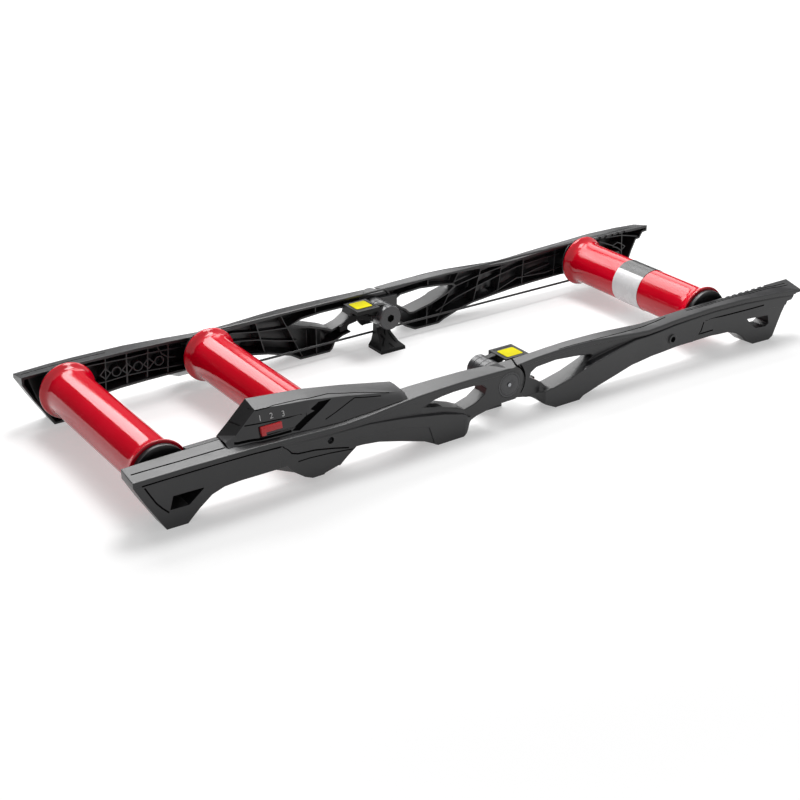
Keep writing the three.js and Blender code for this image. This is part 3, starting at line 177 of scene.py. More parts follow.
# %% Red coat
def gloss_coat(name, dark, light):
    material = new_material(name)
    place = add_node(material, "ShaderNodeTexCoord").outputs["Object"]
    cloud = add_node(material, "ShaderNodeTexNoise", {"Scale": 1 / (120 * MM), "Detail": 2.0},
                     {"Vector": place})
    peel = add_node(material, "ShaderNodeTexNoise", {"Scale": 1 / (9 * MM), "Detail": 1.0},
                    {"Vector": place})
    dust = add_node(material, "ShaderNodeTexNoise", {"Scale": 1 / (14 * MM), "Detail": 6.0},
                    {"Vector": place})
    colour = add_node(material, "ShaderNodeValToRGB", {"stops": [(TONE_LOW, dark), (TONE_HIGH, light)]},
                      {"Fac": cloud.outputs[0]}).outputs["Color"]
    rough = add_node(material, "ShaderNodeMapRange", NOISE_SPAN | {"To Min": 0.1, "To Max": 0.15},
                     {"Value": dust.outputs[0]}).outputs["Result"]
    relief = add_node(material, "ShaderNodeBump", {"Strength": 0.012, "Distance": 0.2 * MM},
                      {"Height": peel.outputs[0]})
    shader = add_node(material, "ShaderNodeBsdfPrincipled", {"IOR": 1.42},
                      {"Base Color": colour, "Roughness": rough, "Normal": relief.outputs[0]})
    return finish_material(material, shader)


DRUM_RED = gloss_coat("sprayed gloss coat, red", "#d0001e", "#da0024")
print("coat:", DRUM_RED.name)

# %% [markdown]
# ## Metals
# Axles, pins and screws are turned steel. A lathe tool leaves very fine rings round the axis, here
# drawn as stripes along Y, which is the axis of every turned piece. The brake disc is turned
# aluminium with rings round its own middle.

# %% Metals
def turned_metal(name, dark, light, roughness, ring_mm):
    material = new_material(name)
    place = add_node(material, "ShaderNodeTexCoord").outputs["Object"]
    rings = add_node(material, "ShaderNodeTexWave", {"wave_type": "BANDS", "bands_direction": "Y",
                     "Scale": 0.314 / (ring_mm * MM), "Distortion": 0.4, "Detail": 2.0}, {"Vector": place})
    smudge = add_node(material, "ShaderNodeTexNoise", {"Scale": 1 / (12 * MM), "Detail": 4.0},
                      {"Vector": place})
    colour = add_node(material, "ShaderNodeValToRGB", {"stops": [(TONE_LOW, dark), (TONE_HIGH, light)]},
                      {"Fac": smudge.outputs[0]}).outputs["Color"]
    rough = add_node(material, "ShaderNodeMapRange",
                     NOISE_SPAN | {"To Min": roughness - 0.05, "To Max": roughness + 0.1},
                     {"Value": smudge.outputs[0]}).outputs["Result"]
    relief = add_node(material, "ShaderNodeBump", {"Strength": 0.15, "Distance": 0.05 * MM},
                      {"Height": rings.outputs[0]})
    shader = add_node(material, "ShaderNodeBsdfPrincipled", {"Metallic": 1.0},
                      {"Base Color": colour, "Roughness": rough, "Normal": relief.outputs[0]})
    return finish_material(material, shader)


STEEL = turned_metal("turned steel", "#8f9194", "#a5a7aa", 0.28, 0.5)
ALUMINIUM = turned_metal("turned aluminium", "#b5b7b9", "#c8cacc", 0.3, 0.8)
MAGNET_NICKEL = turned_metal("nickel plate", "#a7a39b", "#b9b5ad", 0.18, 0.6)
print("metals:", STEEL.name, ALUMINIUM.name, MAGNET_NICKEL.name)

# %% [markdown]
# ## Films and rubber
# The yellow patch and the front drum's band are printed vinyl films: smooth, a little glossy, with
# faint unevenness. The belt is a smooth polyurethane cord, dull black, with dust in its skin.

# %% Films and rubber
def vinyl_film(name, dark, light, roughness, ior=1.52):
    material = new_material(name)
    place = add_node(material, "ShaderNodeTexCoord").outputs["Object"]
    cloud = add_node(material, "ShaderNodeTexNoise", {"Scale": 1 / (18 * MM), "Detail": 5.0},
                     {"Vector": place})
    colour = add_node(material, "ShaderNodeValToRGB", {"stops": [(TONE_LOW, dark), (TONE_HIGH, light)]},
                      {"Fac": cloud.outputs[0]}).outputs["Color"]
    rough = add_node(material, "ShaderNodeMapRange",
                     NOISE_SPAN | {"To Min": roughness - 0.04, "To Max": roughness + 0.06},
                     {"Value": cloud.outputs[0]}).outputs["Result"]
    relief = add_node(material, "ShaderNodeBump", {"Strength": 0.05, "Distance": 0.1 * MM},
                      {"Height": cloud.outputs[0]})
    shader = add_node(material, "ShaderNodeBsdfPrincipled", {"IOR": ior},
                      {"Base Color": colour, "Roughness": rough, "Normal": relief.outputs[0]})
    return finish_material(material, shader)


PATCH_VINYL = vinyl_film("vinyl film, yellow", "#d0c400", "#dad000", 0.6, 1.15)
BAND_WHITE = vinyl_film("vinyl film, white", "#e4e4e5", "#e8e8e9", 0.25)
BAND_BLACK = vinyl_film("vinyl film, black", "#121213", "#18181a", 0.25)
BELT_RUBBER = moulded_plastic("polyurethane cord, black", "#101011", "#18181a", 0.7, 0.4, 0.08)
print("films:", PATCH_VINYL.name, BAND_WHITE.name, BELT_RUBBER.name)

# %% [markdown]
# ## Finish of each solid
# The record says which material slot each solid has, so one short table dresses all of them.

# %% Dress the solids
SLOT_FINISH = {
    "frame_plastic": FRAME_NYLON, "trim_plastic": CAP_ABS, "drum_coat": DRUM_RED, "steel": STEEL,
    "disc_metal": ALUMINIUM, "barrel_plastic": BARREL_NYLON, "cover_plastic": COVER_NYLON,
    "slider_plastic": SLIDER_ABS, "patch": PATCH_VINYL, "band": BAND_WHITE, "belt_rubber": BELT_RUBBER,
    "magnet_metal": MAGNET_NICKEL,
}
SLOT_OF = {entry["node"]: entry["material_slot"] for entry in frame["record"]["subparts"]}
BODY_OF = {n: body for body, names in frame["record"]["behaviour"]["bodies"].items() for n in names}
for name, node in NODES.items():
    node.data.materials.clear()
    node.data.materials.append(SLOT_FINISH[SLOT_OF[name]])
print("dressed", len(NODES), "solids in", len(SLOT_FINISH), "finishes")

# %% [markdown]
# ## Tools for pieces
# Every new piece ends the same way: its doubled corners are merged, its faces are turned outwards,
# its sharp edges are kept sharp, it is hung on the body that carries it, and the solid it stands for
# is hidden.

# %% Finishing a piece
def sharpened(mesh, degrees=35):
    mesh.shade_smooth()
    mesh.set_sharp_from_angle(angle=math.radians(degrees))


TOUCHING_MM = 0.004


def keep_piece(work, name, finishes, slot, body, *stands_for):
    bmesh.ops.remove_doubles(work, verts=work.verts, dist=TOUCHING_MM * MM)
    bmesh.ops.recalc_face_normals(work, faces=work.faces)
    mesh = bpy.data.meshes.new(name)
    work.to_mesh(mesh)
    work.free()
    for finish in finishes:
        mesh.materials.append(finish)
    sharpened(mesh)
    piece = bpy.data.objects.new(name, mesh)
    bpy.context.collection.objects.link(piece)
    if body:
        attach(piece, body)
    if stands_for:
        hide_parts(*stands_for)
    return piece


def worked_in(piece):
    """The piece's modifiers become part of its mesh."""
    graph = bpy.context.evaluated_depsgraph_get()
    mesh = bpy.data.meshes.new_from_object(piece.evaluated_get(graph))
    piece.modifiers.clear()
    piece.data = mesh
    return piece


# %% [markdown]
# ## Lines drawn on a moulding
# Mould split lines, panel edges and grooves are drawn as lines on a plan, in mm, and dropped onto
# the solid from the side or from above. A round bar along such a line is then cut out of the copy,
# which leaves a real groove that light and shadow find from any side.
# The faces of the cut are also painted near-black, as painted shade in the groove.

# %% Lines on the solids
def walk(points, step_mm):
    """Points about a step apart along a line through the given ones."""
    walked = [Vector(points[0])]
    for a, b in zip(points, points[1:]):
        a, b = Vector(a), Vector(b)
        count = max(1, round((b - a).length / step_mm))
        walked += [a.lerp(b, i / count) for i in range(1, count + 1)]
    return walked


def skin_of(node_name):
    work = bmesh.new()
    work.from_mesh(NODES[node_name].data)
    tree = BVHTree.FromBMesh(work)
    work.free()
    return tree


FAR_OFF = 0.4
SIDES = {"left": 1, "right": -1}


def landed(tree, view, side, points, step_mm=6.0):
    """Spots on a solid's skin under a line of (x, z) seen from the side or (x, y) seen from above."""
    spots = []
    for u, v in walk(points, step_mm):
        if view == "side":
            start, way = Vector((u * MM, SIDES[side] * FAR_OFF, v * MM)), Vector((0, -SIDES[side], 0))
        else:
            start, way = Vector((u * MM, SIDES[side] * v * MM, FAR_OFF)), Vector((0, 0, -1))
        spot = tree.ray_cast(start, way)[0]
        if spot is not None:
            spots.append(spot)
    return spots


def round_bar(spots, radius_mm, closed=False):
    """Mesh of a round bar along the spots, made from a curve."""
    curve = bpy.data.curves.new("bar", "CURVE")
    curve.dimensions = "3D"
    curve.bevel_depth = radius_mm * MM
    curve.bevel_resolution = 2
    curve.use_fill_caps = True
    spline = curve.splines.new("POLY")
    spline.points.add(len(spots) - 1)
    for point, spot in zip(spline.points, spots):
        point.co = (*spot, 1)
    spline.use_cyclic_u = closed
    holder = bpy.data.objects.new("bar", curve)
    mesh = bpy.data.meshes.new_from_object(holder)
    bpy.data.objects.remove(holder)
    bpy.data.curves.remove(curve)
    return mesh


# %% [markdown]
# ## Rounded copies
# A moulding has no knife edges: every rib and lip is rounded by about a millimetre, and that small
# radius is what catches the light. A solid's mesh is loose triangles, so a copy of it is merged,
# its flat faces are joined, and its edges are bevelled. The grooves are cut after that, so that
# their own thin edges stay crisp.

# %% Room for a rounded edge
SHARP_DEGREES = 32
SHOULDER_FROM_MM = 216
STRAIGHT_ON = 0.9
ROOM_SHARE = 0.42
OFF_SKIN_SHARE = 0.32
BEVEL_TRIES = 9
SLIVER_MM2 = 1.0
TURNED_OVER = -0.5
DOUBLES_MM, SHORT_EDGE_MM, FLAT_DEGREES = 0.02, 0.2, 0.3
BEVEL_SEGMENTS, CREASE_DEGREES = 3, 36
SHRINK_TRIES, SHRINK = 2, 0.4


def room_beside(edge):
    """How far an edge can be cut back before the cut meets the next edge or runs off its face."""
    room = [2 * face.calc_area() / face.calc_perimeter() for face in edge.link_faces]
    for vert in edge.verts:
        here = (edge.other_vert(vert).co - vert.co).normalized()
        for other in vert.link_edges:
            way = (other.other_vert(vert).co - vert.co).normalized()
            if other is not edge and way.dot(here) > -STRAIGHT_ON:
                room.append(other.calc_length() * way.cross(here).length)
    return ROOM_SHARE * min(room)


def merged_copy(node_name, width_mm, shoulder_mm):
    """A solid's mesh with its flat faces joined, and a share of the widest bevel on each sharp edge."""
    work = bmesh.new()
    work.from_mesh(NODES[node_name].data)
    bmesh.ops.remove_doubles(work, verts=work.verts, dist=DOUBLES_MM * MM)
    bmesh.ops.dissolve_limit(work, angle_limit=math.radians(FLAT_DEGREES), verts=work.verts,
                             edges=work.edges)
    bmesh.ops.remove_doubles(work, verts=work.verts, dist=SHORT_EDGE_MM * MM)
    bmesh.ops.recalc_face_normals(work, faces=work.faces)
    weight = work.edges.layers.float.new("bevel_weight_edge")
    for edge in work.edges:
        if len(edge.link_faces) == 2 and edge.calc_face_angle() > math.radians(SHARP_DEGREES):
            outer = min(abs(vert.co.y) for vert in edge.verts) > SHOULDER_FROM_MM * MM
            wanted = shoulder_mm if outer else width_mm
            edge[weight] = min(wanted, room_beside(edge) / MM) / shoulder_mm
    return work, weight


def off_skin(mesh, tree, deepest):
    """Corners of faces that stray from the solid's skin, or that a crossed outline turned over."""
    mesh.calc_loop_triangles()
    found = set()
    for triangle in mesh.loop_triangles:
        a, b, c = (mesh.vertices[i].co for i in triangle.vertices)
        spots = [a, b, c, (a + b) / 2, (b + c) / 2, (c + a) / 2, (a + b + c) / 3]
        strays = any(tree.find_nearest(spot)[3] > deepest for spot in spots)
        across = (b - a).cross(c - a)
        if across.length > 2 * SLIVER_MM2 * MM * MM:
            strays = strays or across.normalized().dot(tree.find_nearest(spots[-1])[1]) < TURNED_OVER
        if strays:
            found.update(triangle.vertices)
    return found


# %% Rounded copy of a solid
def rounded_copy(node_name, width_mm, shoulder_mm=None, grooves=()):
    """A copy with rounded edges. The edges of its outer side, its shoulders, may be rounder.
    Where a rounded edge makes a face stray from the solid, that edge is made sharper again."""
    shoulder_mm = shoulder_mm or width_mm
    tree = skin_of(node_name)
    work, weight = merged_copy(node_name, width_mm, shoulder_mm)
    corners = KDTree(len(work.verts))
    for i, vert in enumerate(work.verts):
        corners.insert(vert.co, i)
    corners.balance()
    work.verts.ensure_lookup_table()
    piece = bpy.data.objects.new(node_name + "_moulded", bpy.data.meshes.new("plain"))
    bpy.context.collection.objects.link(piece)
    for attempt in range(BEVEL_TRIES):
        plain = bpy.data.meshes.new("plain")
        work.to_mesh(plain)
        plain.materials.append(SLOT_FINISH[SLOT_OF[node_name]])
        piece.data = plain
        bevel = piece.modifiers.new("edges", "BEVEL")
        bevel.width = shoulder_mm * MM
        bevel.segments = BEVEL_SEGMENTS
        bevel.limit_method = "WEIGHT"
        bevel.use_clamp_overlap = False
        worked_in(piece)
        strays = off_skin(piece.data, tree, OFF_SKIN_SHARE * shoulder_mm * MM)
        if not strays:
            break
        for near in {corners.find(piece.data.vertices[i].co)[1] for i in strays}:
            for edge in work.verts[near].link_edges:
                edge[weight] *= SHRINK if attempt < SHRINK_TRIES else 0.0
    work.free()
    for vert in piece.data.vertices:
        vert.co.z = max(vert.co.z, 0.0)
    if grooves:
        cut_grooves(piece, node_name, grooves)
    sharpened(piece.data, CREASE_DEGREES)
    weighted = piece.modifiers.new("normals", "WEIGHTED_NORMAL")
    weighted.keep_sharp = True
    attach(piece, BODY_OF[node_name])
    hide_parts(node_name)
    print("rounded", piece.name, "tries", attempt + 1, "strays", len(strays))
    return piece


BLOCK_OUT_MM, BAR_DOUBLES_MM = 3.0, 0.01


def pocket_block(work, spots, depth_mm, side):
    """A block that follows an outline on the skin: it stands proud of it and reaches below it."""
    out = Vector((0, SIDES[side], 0))
    rim = work.faces.new([work.verts.new(spot + out * BLOCK_OUT_MM * MM) for spot in spots])
    raised = bmesh.ops.extrude_face_region(work, geom=[rim])["geom"]
    low = [g for g in raised if isinstance(g, bmesh.types.BMVert)]
    bmesh.ops.translate(work, verts=low, vec=-out * (BLOCK_OUT_MM + depth_mm) * MM)
    bmesh.ops.triangulate(work, faces=[f for f in work.faces if len(f.verts) > 4])


def cut_grooves(piece, node_name, grooves):
    tree = skin_of(node_name)
    side = node_name.rsplit("_", 1)[-1] if node_name.endswith(("left", "right")) else "right"
    work = bmesh.new()
    for view, radius_mm, points in grooves:
        if view == "pocket":
            spots = [landed(tree, "side", side, [point, point])[0] for point in points]
            pocket_block(work, spots, radius_mm, side)
            continue
        bar = round_bar(landed(tree, view, side, points), radius_mm)
        work.from_mesh(bar)
        bpy.data.meshes.remove(bar)
    bmesh.ops.remove_doubles(work, verts=work.verts, dist=BAR_DOUBLES_MM * MM)
    bmesh.ops.recalc_face_normals(work, faces=work.faces)
    mesh = bpy.data.meshes.new("groove_bars")
    work.to_mesh(mesh)
    work.free()
    # The bars carry the near-black nylon, so the faces they cut are painted shade.
    mesh.materials.append(PAINTED_SHADE_NYLON)
    bars = bpy.data.objects.new("groove_bars", mesh)
    bpy.context.collection.objects.link(bars)
    before = len(piece.data.polygons)
    cut = piece.modifiers.new("grooves", "BOOLEAN")
    cut.operation = "DIFFERENCE"
    cut.solver = "EXACT"
    cut.use_self = True
    cut.material_mode = "TRANSFER"
    cut.object = bars
    worked_in(piece)
    bpy.data.objects.remove(bars)
    print("grooves in", node_name, before, "->", len(piece.data.polygons), "faces")


# %% [markdown]
# ## Side frames
# Each half is one moulding. Its flange has a long shallow groove near the outer edge, the rear end
# has a curved split line, and the belly and the front end have panel edges. All of them are the
# same on the left and on the right.

# %% Side frames
REAR_GROOVES = [
    ("above", 1.5, [(-698, 219.3), (-667, 220.7), (-619, 222.4), (-577, 222.3), (-543, 222)]),
    ("side", 1.3, [(-686, 80), (-678, 65), (-669, 49), (-660, 38), (-650, 28)]),
    ("side", 1.3, [(-690, 84), (-640, 86), (-567, 86.5), (-503, 85.5), (-452, 83), (-444, 75), (-436, 66),
                   (-425, 62), (-394, 59.5), (-360, 52.5), (-330, 45)]),
    ("side", 1.0, [(-425, 48), (-405, 48.5), (-365, 45.5), (-318, 40)]),
]
FRONT_GROOVES = [
    ("above", 1.1, [(114, 221), (182, 221.5), (260, 216.4), (344, 209), (380, 206)]),
    ("above", 1.0, [(430, 203.6), (467, 206), (545, 206), (624, 207.6), (690, 210)]),
    ("above", 1.0, [(430, 208), (467, 210.5), (545, 210.5), (624, 212.5), (690, 217)]),
    ("side", 1.4, [(466, 77), (520, 77.2), (575, 77.4), (611, 78)]),
    ("side", 1.4, [(462, 74.5), (456.5, 57.7), (451, 52.4), (488, 52.3)]),
]
# The hinge gap is a groove whose faces are painted near-black: painted shade in the gap.
HINGE_GAP = [("side", 1.7, [(24.8, 97), (31.6, 89.6), (36.3, 80.6), (38.5, 70.8), (38, 60.8), (35, 51.1),
                            (29.6, 42.6)])]
for side in SIDES:
    for half, grooves in (("frame_rear", REAR_GROOVES), ("frame_front", FRONT_GROOVES + HINGE_GAP)):
        made = rounded_copy(f"{half}_{side}", 0.8, 3.0, grooves)
        print("rounded", made.name, len(made.data.polygons), "faces")

# %% [markdown]
# ## Ribs inside the frames
# The hollow side of each frame faces the drums and is stiffened by a lattice of thin ribs: long
# rails, and between the rear drums a chain of small rings and diamonds. Each rib is drawn as a
# line, pulled into a band across the depth of the hollow, and given its thickness.

# %% Rib lattice
RIB_FACE_MM, RIB_BACK_MM, RIB_WIDTH_MM = 201.6, 215.5, 1.8
REAR_RAILS = [
    [(-655, 91), (-576, 90), (-513, 87), (-471, 87), (-403, 83)],
    [(-610, 55), (-554, 53), (-517, 55), (-476, 54), (-406, 49), (-360, 47)],
    [(-454, 95), (-446, 80), (-434, 70), (-418, 67)],
    [(-330, 83), (-304, 85), (-270, 79), (-246, 75), (-188, 69)],
    [(-330, 70), (-293, 67), (-253, 60), (-210, 48), (-168, 38)],
]
FRONT_RAILS = [
    [(192, 68), (254, 79), (310, 85), (367, 93)],
    [(151, 26), (199, 44), (248, 56), (306, 69), (354, 78), (466, 84)],
    [(267, 29), (307, 38), (353, 53), (428, 49), (468, 54)],
    [(373, 56), (402, 62), (438, 66)],
    [(573, 88), (612, 71), (624, 76), (632, 73), (645, 64), (636, 58), (625, 66), (612, 71)],
    [(590, 93), (635, 90), (660, 84), (684, 78)],
]
RING_PLACES = [(-554, 68.5), (-533, 68), (-512.5, 68), (-492, 68), (-471.5, 68.5), (-451, 68.5)]
RING_R_MM = 7.4


def pulled_into_rib(work, edges, side):
    """Edges drawn on the face of the hollow become a rib across its depth."""
    pulled = bmesh.ops.extrude_edge_only(work, edges=edges)["geom"]
    verts = [g for g in pulled if isinstance(g, bmesh.types.BMVert)]
    faces = [g for g in pulled if isinstance(g, bmesh.types.BMFace)]
    bmesh.ops.translate(work, verts=verts, vec=(0, SIDES[side] * (RIB_BACK_MM - RIB_FACE_MM) * MM, 0))
    bmesh.ops.solidify(work, geom=faces, thickness=RIB_WIDTH_MM * MM)


def rib_lattice(half, side, rails, rings=()):
    work = bmesh.new()
    face_y = SIDES[side] * RIB_FACE_MM * MM
    for rail in rails:
        verts = [work.verts.new((x * MM, face_y, z * MM)) for x, z in rail]
        pulled_into_rib(work, [work.edges.new(pair) for pair in zip(verts, verts[1:])], side)
    for i, (x, z) in enumerate(rings):
        place = Matrix.Translation((x * MM, face_y, z * MM)) @ Matrix.Rotation(math.pi / 2, 4, "X")
        count, radius = (24, RING_R_MM) if i % 2 else (4, RING_R_MM * 1.15)
        ring = bmesh.ops.create_circle(work, segments=count, radius=radius * MM, matrix=place)["verts"]
        pulled_into_rib(work, list({edge for vert in ring for edge in vert.link_edges}), side)
    piece = keep_piece(work, f"rib_lattice_{half}_{side}", [FRAME_NYLON], "frame_plastic",
                       f"{half}_frame")
    print(piece.name, len(piece.data.polygons), "faces")


for side in SIDES:
    rib_lattice("rear", side, REAR_RAILS, RING_PLACES)
    rib_lattice("front", side, FRONT_RAILS)

# %% [markdown]
# ## Drums
# A drum is spun from one profile: a plain tube whose ends swell into a rounded flange. The solid
# has few facets, so the piece that shows is spun again with many more steps and a flowing flare.

# %% Turned pieces
ROUND_STEPS = 120
AXIS_Z = 68.3
DRUM_X = {"rear": -634.5, "middle": -364.5, "front": 505.5}


def spun(profile, axis_x, axis_z, mirrored=False, steps=ROUND_STEPS):
    """A line of (radius, y) in mm turned right round an axis along Y."""
    work = bmesh.new()
    flip = -1 if mirrored else 1
    verts = [work.verts.new(((axis_x + r) * MM, flip * y * MM, axis_z * MM)) for r, y in profile]
    edges = [work.edges.new(pair) for pair in zip(verts, verts[1:])]
    bmesh.ops.spin(work, geom=verts + edges, cent=(axis_x * MM, 0, axis_z * MM), axis=(0, 1, 0),
                   dvec=(0, 0, 0), angle=2 * math.pi, steps=steps, use_merge=True, use_duplicate=False)
    bmesh.ops.remove_doubles(work, verts=work.verts, dist=TOUCHING_MM * MM)
    return work


def soften_rims(work, width_mm, segments=3, degrees=28):
    """Round the sharp rims of a turned piece."""
    rims = [e for e in work.edges if len(e.link_faces) == 2
            and e.calc_face_angle() > math.radians(degrees)]
    bmesh.ops.bevel(work, geom=rims, offset=width_mm * MM, segments=segments, profile=0.5,
                    affect="EDGES", material=-1)


DRUM_FLARE = [
    (42.1, 135), (42.1, 146), (42.25, 152), (42.6, 156.5), (43.2, 160.3), (44.3, 163.6), (45.8, 166.4),
    (47.5, 168.9), (49, 171), (50.1, 173), (50.7, 174.7), (50.85, 176), (50.5, 177), (49.7, 177.55),
    (48.8, 177.7),
]
DRUM_BORE_MM = 40.1
for place, x in DRUM_X.items():
    half = DRUM_FLARE + [(DRUM_BORE_MM, 177.7)]
    outline = [(r, -y) for r, y in reversed(half)] + half
    work = spun(outline + [outline[0]], x, AXIS_Z)
    piece = keep_piece(work, f"{place}_drum_turned", [DRUM_RED], "drum_coat", f"{place}_roller",
                       f"{place}_drum")
    print(piece.name, len(piece.data.polygons), "faces")

# %% [markdown]
# ## End caps
# Each drum ends in a black cap with a dished face round the axle. The two caps on the belt side of
# the middle and the front drum have a round groove for the cord.

# %% End caps
CAP_FACE = [(9, 179.7), (14.3, 179.7), (14.3, 163.9), (39.8, 163.9), (39.8, 178), (46, 178)]
CAP_GROOVE = [(46, 180.1), (40.6, 180.2), (38.6, 181.2), (38.2, 182.5), (38.6, 183.8), (40.6, 184.8),
              (46, 184.9)]
CAP_RIM = [(46, 188), (34, 188), (31, 187.2), (12, 185.6), (9, 185.5), (9, 179.7)]
for place, x in DRUM_X.items():
    for side in SIDES:
        groove = CAP_GROOVE if side == "left" and place != "rear" else []
        work = spun(CAP_FACE + groove + CAP_RIM, x, AXIS_Z, side == "right", 96)
        soften_rims(work, 0.9)
        piece = keep_piece(work, f"{place}_cap_{side}_turned", [CAP_ABS], "trim_plastic", f"{place}_roller",
                           f"{place}_cap_{side}")
print("caps turned, last", piece.name, len(piece.data.polygons), "faces")

# %% [markdown]
# ## Band of the front drum
# A film is wrapped round the front drum: white, with a black part that takes up about a quarter of
# its round. The black part is faces with their own finish, picked by their angle round the axis.

# %% Drum band
BAND_Y = (-37.5, 33.5)
BAND_INNER_MM, BAND_OUTER_MM = 42.2, 42.9
BLACK_FROM, BLACK_TO = math.radians(30), math.radians(128)
work = spun([(BAND_INNER_MM, BAND_Y[0]), (BAND_OUTER_MM, BAND_Y[0]), (BAND_OUTER_MM, BAND_Y[1]),
             (BAND_INNER_MM, BAND_Y[1]), (BAND_INNER_MM, BAND_Y[0])], DRUM_X["front"], AXIS_Z)
for face in work.faces:
    middle = face.calc_center_median()
    angle = math.atan2(middle.z - AXIS_Z * MM, middle.x - DRUM_X["front"] * MM)
    if BLACK_FROM < angle < BLACK_TO:
        face.material_index = 1
keep_piece(work, "drum_band_wrapped", [BAND_WHITE, BAND_BLACK], "band", "front_roller", "drum_band")
print("band wrapped")

# %% [markdown]
# ## Belt
# The belt is a round elastic cord joined end to end. It runs in the grooves of the middle and the
# front drum, so it crosses the fold hinge. Here it is one fixed loop that no body carries.

# %% Belt
BELT_R_MM, BELT_Y_MM, CORD_R_MM = 40.5, 182.5, 2.3
arcs = []
for x, first in ((DRUM_X["front"], -90), (DRUM_X["middle"], 90)):
    arcs.append([(x + BELT_R_MM * math.cos(math.radians(first + a)),
                  AXIS_Z + BELT_R_MM * math.sin(math.radians(first + a))) for a in range(0, 181, 6)])
loop = walk(arcs[0] + arcs[1] + arcs[0][:1], 14)[:-1]
cord = round_bar([(x * MM, BELT_Y_MM * MM, z * MM) for x, z in loop], CORD_R_MM, closed=True)
work = bmesh.new()
work.from_mesh(cord)
bpy.data.meshes.remove(cord)
belt = keep_piece(work, "belt_cord", [BELT_RUBBER], "belt_rubber", None, "drive_belt")
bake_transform(belt)
print("belt", len(belt.data.polygons), "faces")

# %% [markdown]
# ## Resistance housing
# The housing over the middle drum is a moulding of its own. A line runs under its top edge, another
# frames the slider's channel, a wide one along its foot makes the dark gap there, and a slanting slot
# parts the rear panel from the raised front one. The slot is a block cut out, since a round bar would
# leave no corners. The faces of all these cuts are painted near-black as painted shade, and the end
# faces at the back of the housing are painted darker as shade.

# %% Resistance housing
SHADED_END_NORMAL_X, SHADED_END_BEFORE_MM = -0.5, -440
PIN_Z, BARREL_R_MM = 67.4, 24.6
COVER_GROOVES = [
    ("side", 1.0, [(-492, 146), (-451, 144.5), (-405, 141), (-350, 134.5), (-300, 125), (-240, 112)]),
    ("side", 1.0, [(-518, 125), (-488, 125.5), (-441, 122), (-406, 120)]),
    ("pocket", 2.0, [(-350, 130), (-383, 113), (-416, 97), (-430, 99.5), (-397, 117), (-384, 120),
                     (-391, 124), (-374, 131.5)]),
    ("side", 2.2, [(-528, 103.4), (-487, 101.4), (-451, 100.2), (-430, 100)]),
    ("side", 0.9, [(-367, 102), (-307, 121), (-258, 112)]),
]
cover = rounded_copy("resistance_cover", 0.8, 2.0, COVER_GROOVES)
# Painted shade: the housing's faces that look back, behind x = -440 mm, take the darker, duller black
# nylon.
cover.data.materials.append(LEVER_NYLON_AND_END_SHADE)
for face in cover.data.polygons:
    if face.normal.x < SHADED_END_NORMAL_X and face.center.x < SHADED_END_BEFORE_MM * MM:
        face.material_index = len(cover.data.materials) - 1
for name in ("centre_foot_left", "centre_foot_right", "lever_left", "lever_right"):
    made = rounded_copy(name, 0.8)
    made.data.materials[0] = LEVER_NYLON_AND_END_SHADE
    made.data.materials.append(BARREL_NYLON)
    for face in made.data.polygons:
        if math.hypot(face.center.x, face.center.z - PIN_Z * MM) < BARREL_R_MM * MM:
            face.material_index = 1

# %% [markdown]
# ## Barrel caps and labels
# A six-sided key hole sits deep in each barrel cap, and its walls are painted near-black as the shade in
# it. The plain yellow label of each release lever is a film with rounded corners that lies in the
# lever's shallow recess.

# %% Barrel caps and labels
KEY_HOLE_R_MM, CAP_FACE_Y_MM = 8.6, 136.5
for side in SIDES:
    cap = rounded_copy(f"barrel_cap_{side}", 0.5)
    cap.data.materials.append(PAINTED_SHADE_NYLON)
    # Painted shade: the walls of the key hole take the near-black nylon.
    for face in cap.data.polygons:
        off_axis = math.hypot(face.center.x, face.center.z - PIN_Z * MM)
        if off_axis < KEY_HOLE_R_MM * MM and abs(face.center.y) > (CAP_FACE_Y_MM + 0.7) * MM:
            face.material_index = 1

LABEL_X_MM, LABEL_Y_MM, LABEL_CORNER_MM = (30, 65), (153, 184), 3
for side in SIDES:
    low, high = (c.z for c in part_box(f"lever_patch_{side}"))
    work = bmesh.new()
    across = [(sum(pair) / 2 * MM, (pair[1] - pair[0]) / 2 * MM) for pair in (LABEL_X_MM, LABEL_Y_MM)]
    place = Matrix.Translation((-SIDES[side] * across[0][0], SIDES[side] * across[1][0], low))
    bmesh.ops.create_grid(work, x_segments=1, y_segments=1, size=1,
                          matrix=place @ Matrix.Diagonal((across[0][1], across[1][1], 1, 1)))
    bmesh.ops.bevel(work, geom=work.verts[:], offset=LABEL_CORNER_MM * MM, segments=5, profile=0.5,
                    affect="VERTICES", material=-1)
    raised = bmesh.ops.extrude_face_region(work, geom=work.faces[:])["geom"]
    bmesh.ops.translate(work, verts=[g for g in raised if isinstance(g, bmesh.types.BMVert)],
                        vec=(0, 0, high - low))
    keep_piece(work, f"lever_label_{side}", [PATCH_VINYL], "patch", f"lever_{side}", f"lever_patch_{side}")
print("caps and labels made")

# %% [markdown]
# ## Slider and its numbers
# The red slider is a bar with a finger ridge and a small tab that hangs over the housing's edge. It
# is built from boxes that lean with the housing's face. Three plain numbers mark its stops.

# %% Slider
FACE_LEAN = math.atan2(4.1, 16)
lean = Matrix.Rotation(-FACE_LEAN, 4, "X")
hang = Matrix.Translation((0, -227.3 * MM, 104 * MM)) @ lean


def leaning_box(work, x0, x1, out0, out1, up0, up1, bevel_mm):
    """A rounded box in mm: along x, out of the channel's floor, and up its slope."""
    size = Matrix.Diagonal(((x1 - x0) * MM, (out1 - out0) * MM, (up1 - up0) * MM, 1))
    middle = Matrix.Translation(((x0 + x1) / 2 * MM, -(out0 + out1) / 2 * MM, (up0 + up1) / 2 * MM))
    verts = bmesh.ops.create_cube(work, size=1, matrix=hang @ middle @ size)["verts"]
    edges = list({edge for vert in verts for edge in vert.link_edges})
    bmesh.ops.bevel(work, geom=edges, offset=bevel_mm * MM, segments=2, profile=0.5, affect="EDGES",
                    material=-1)


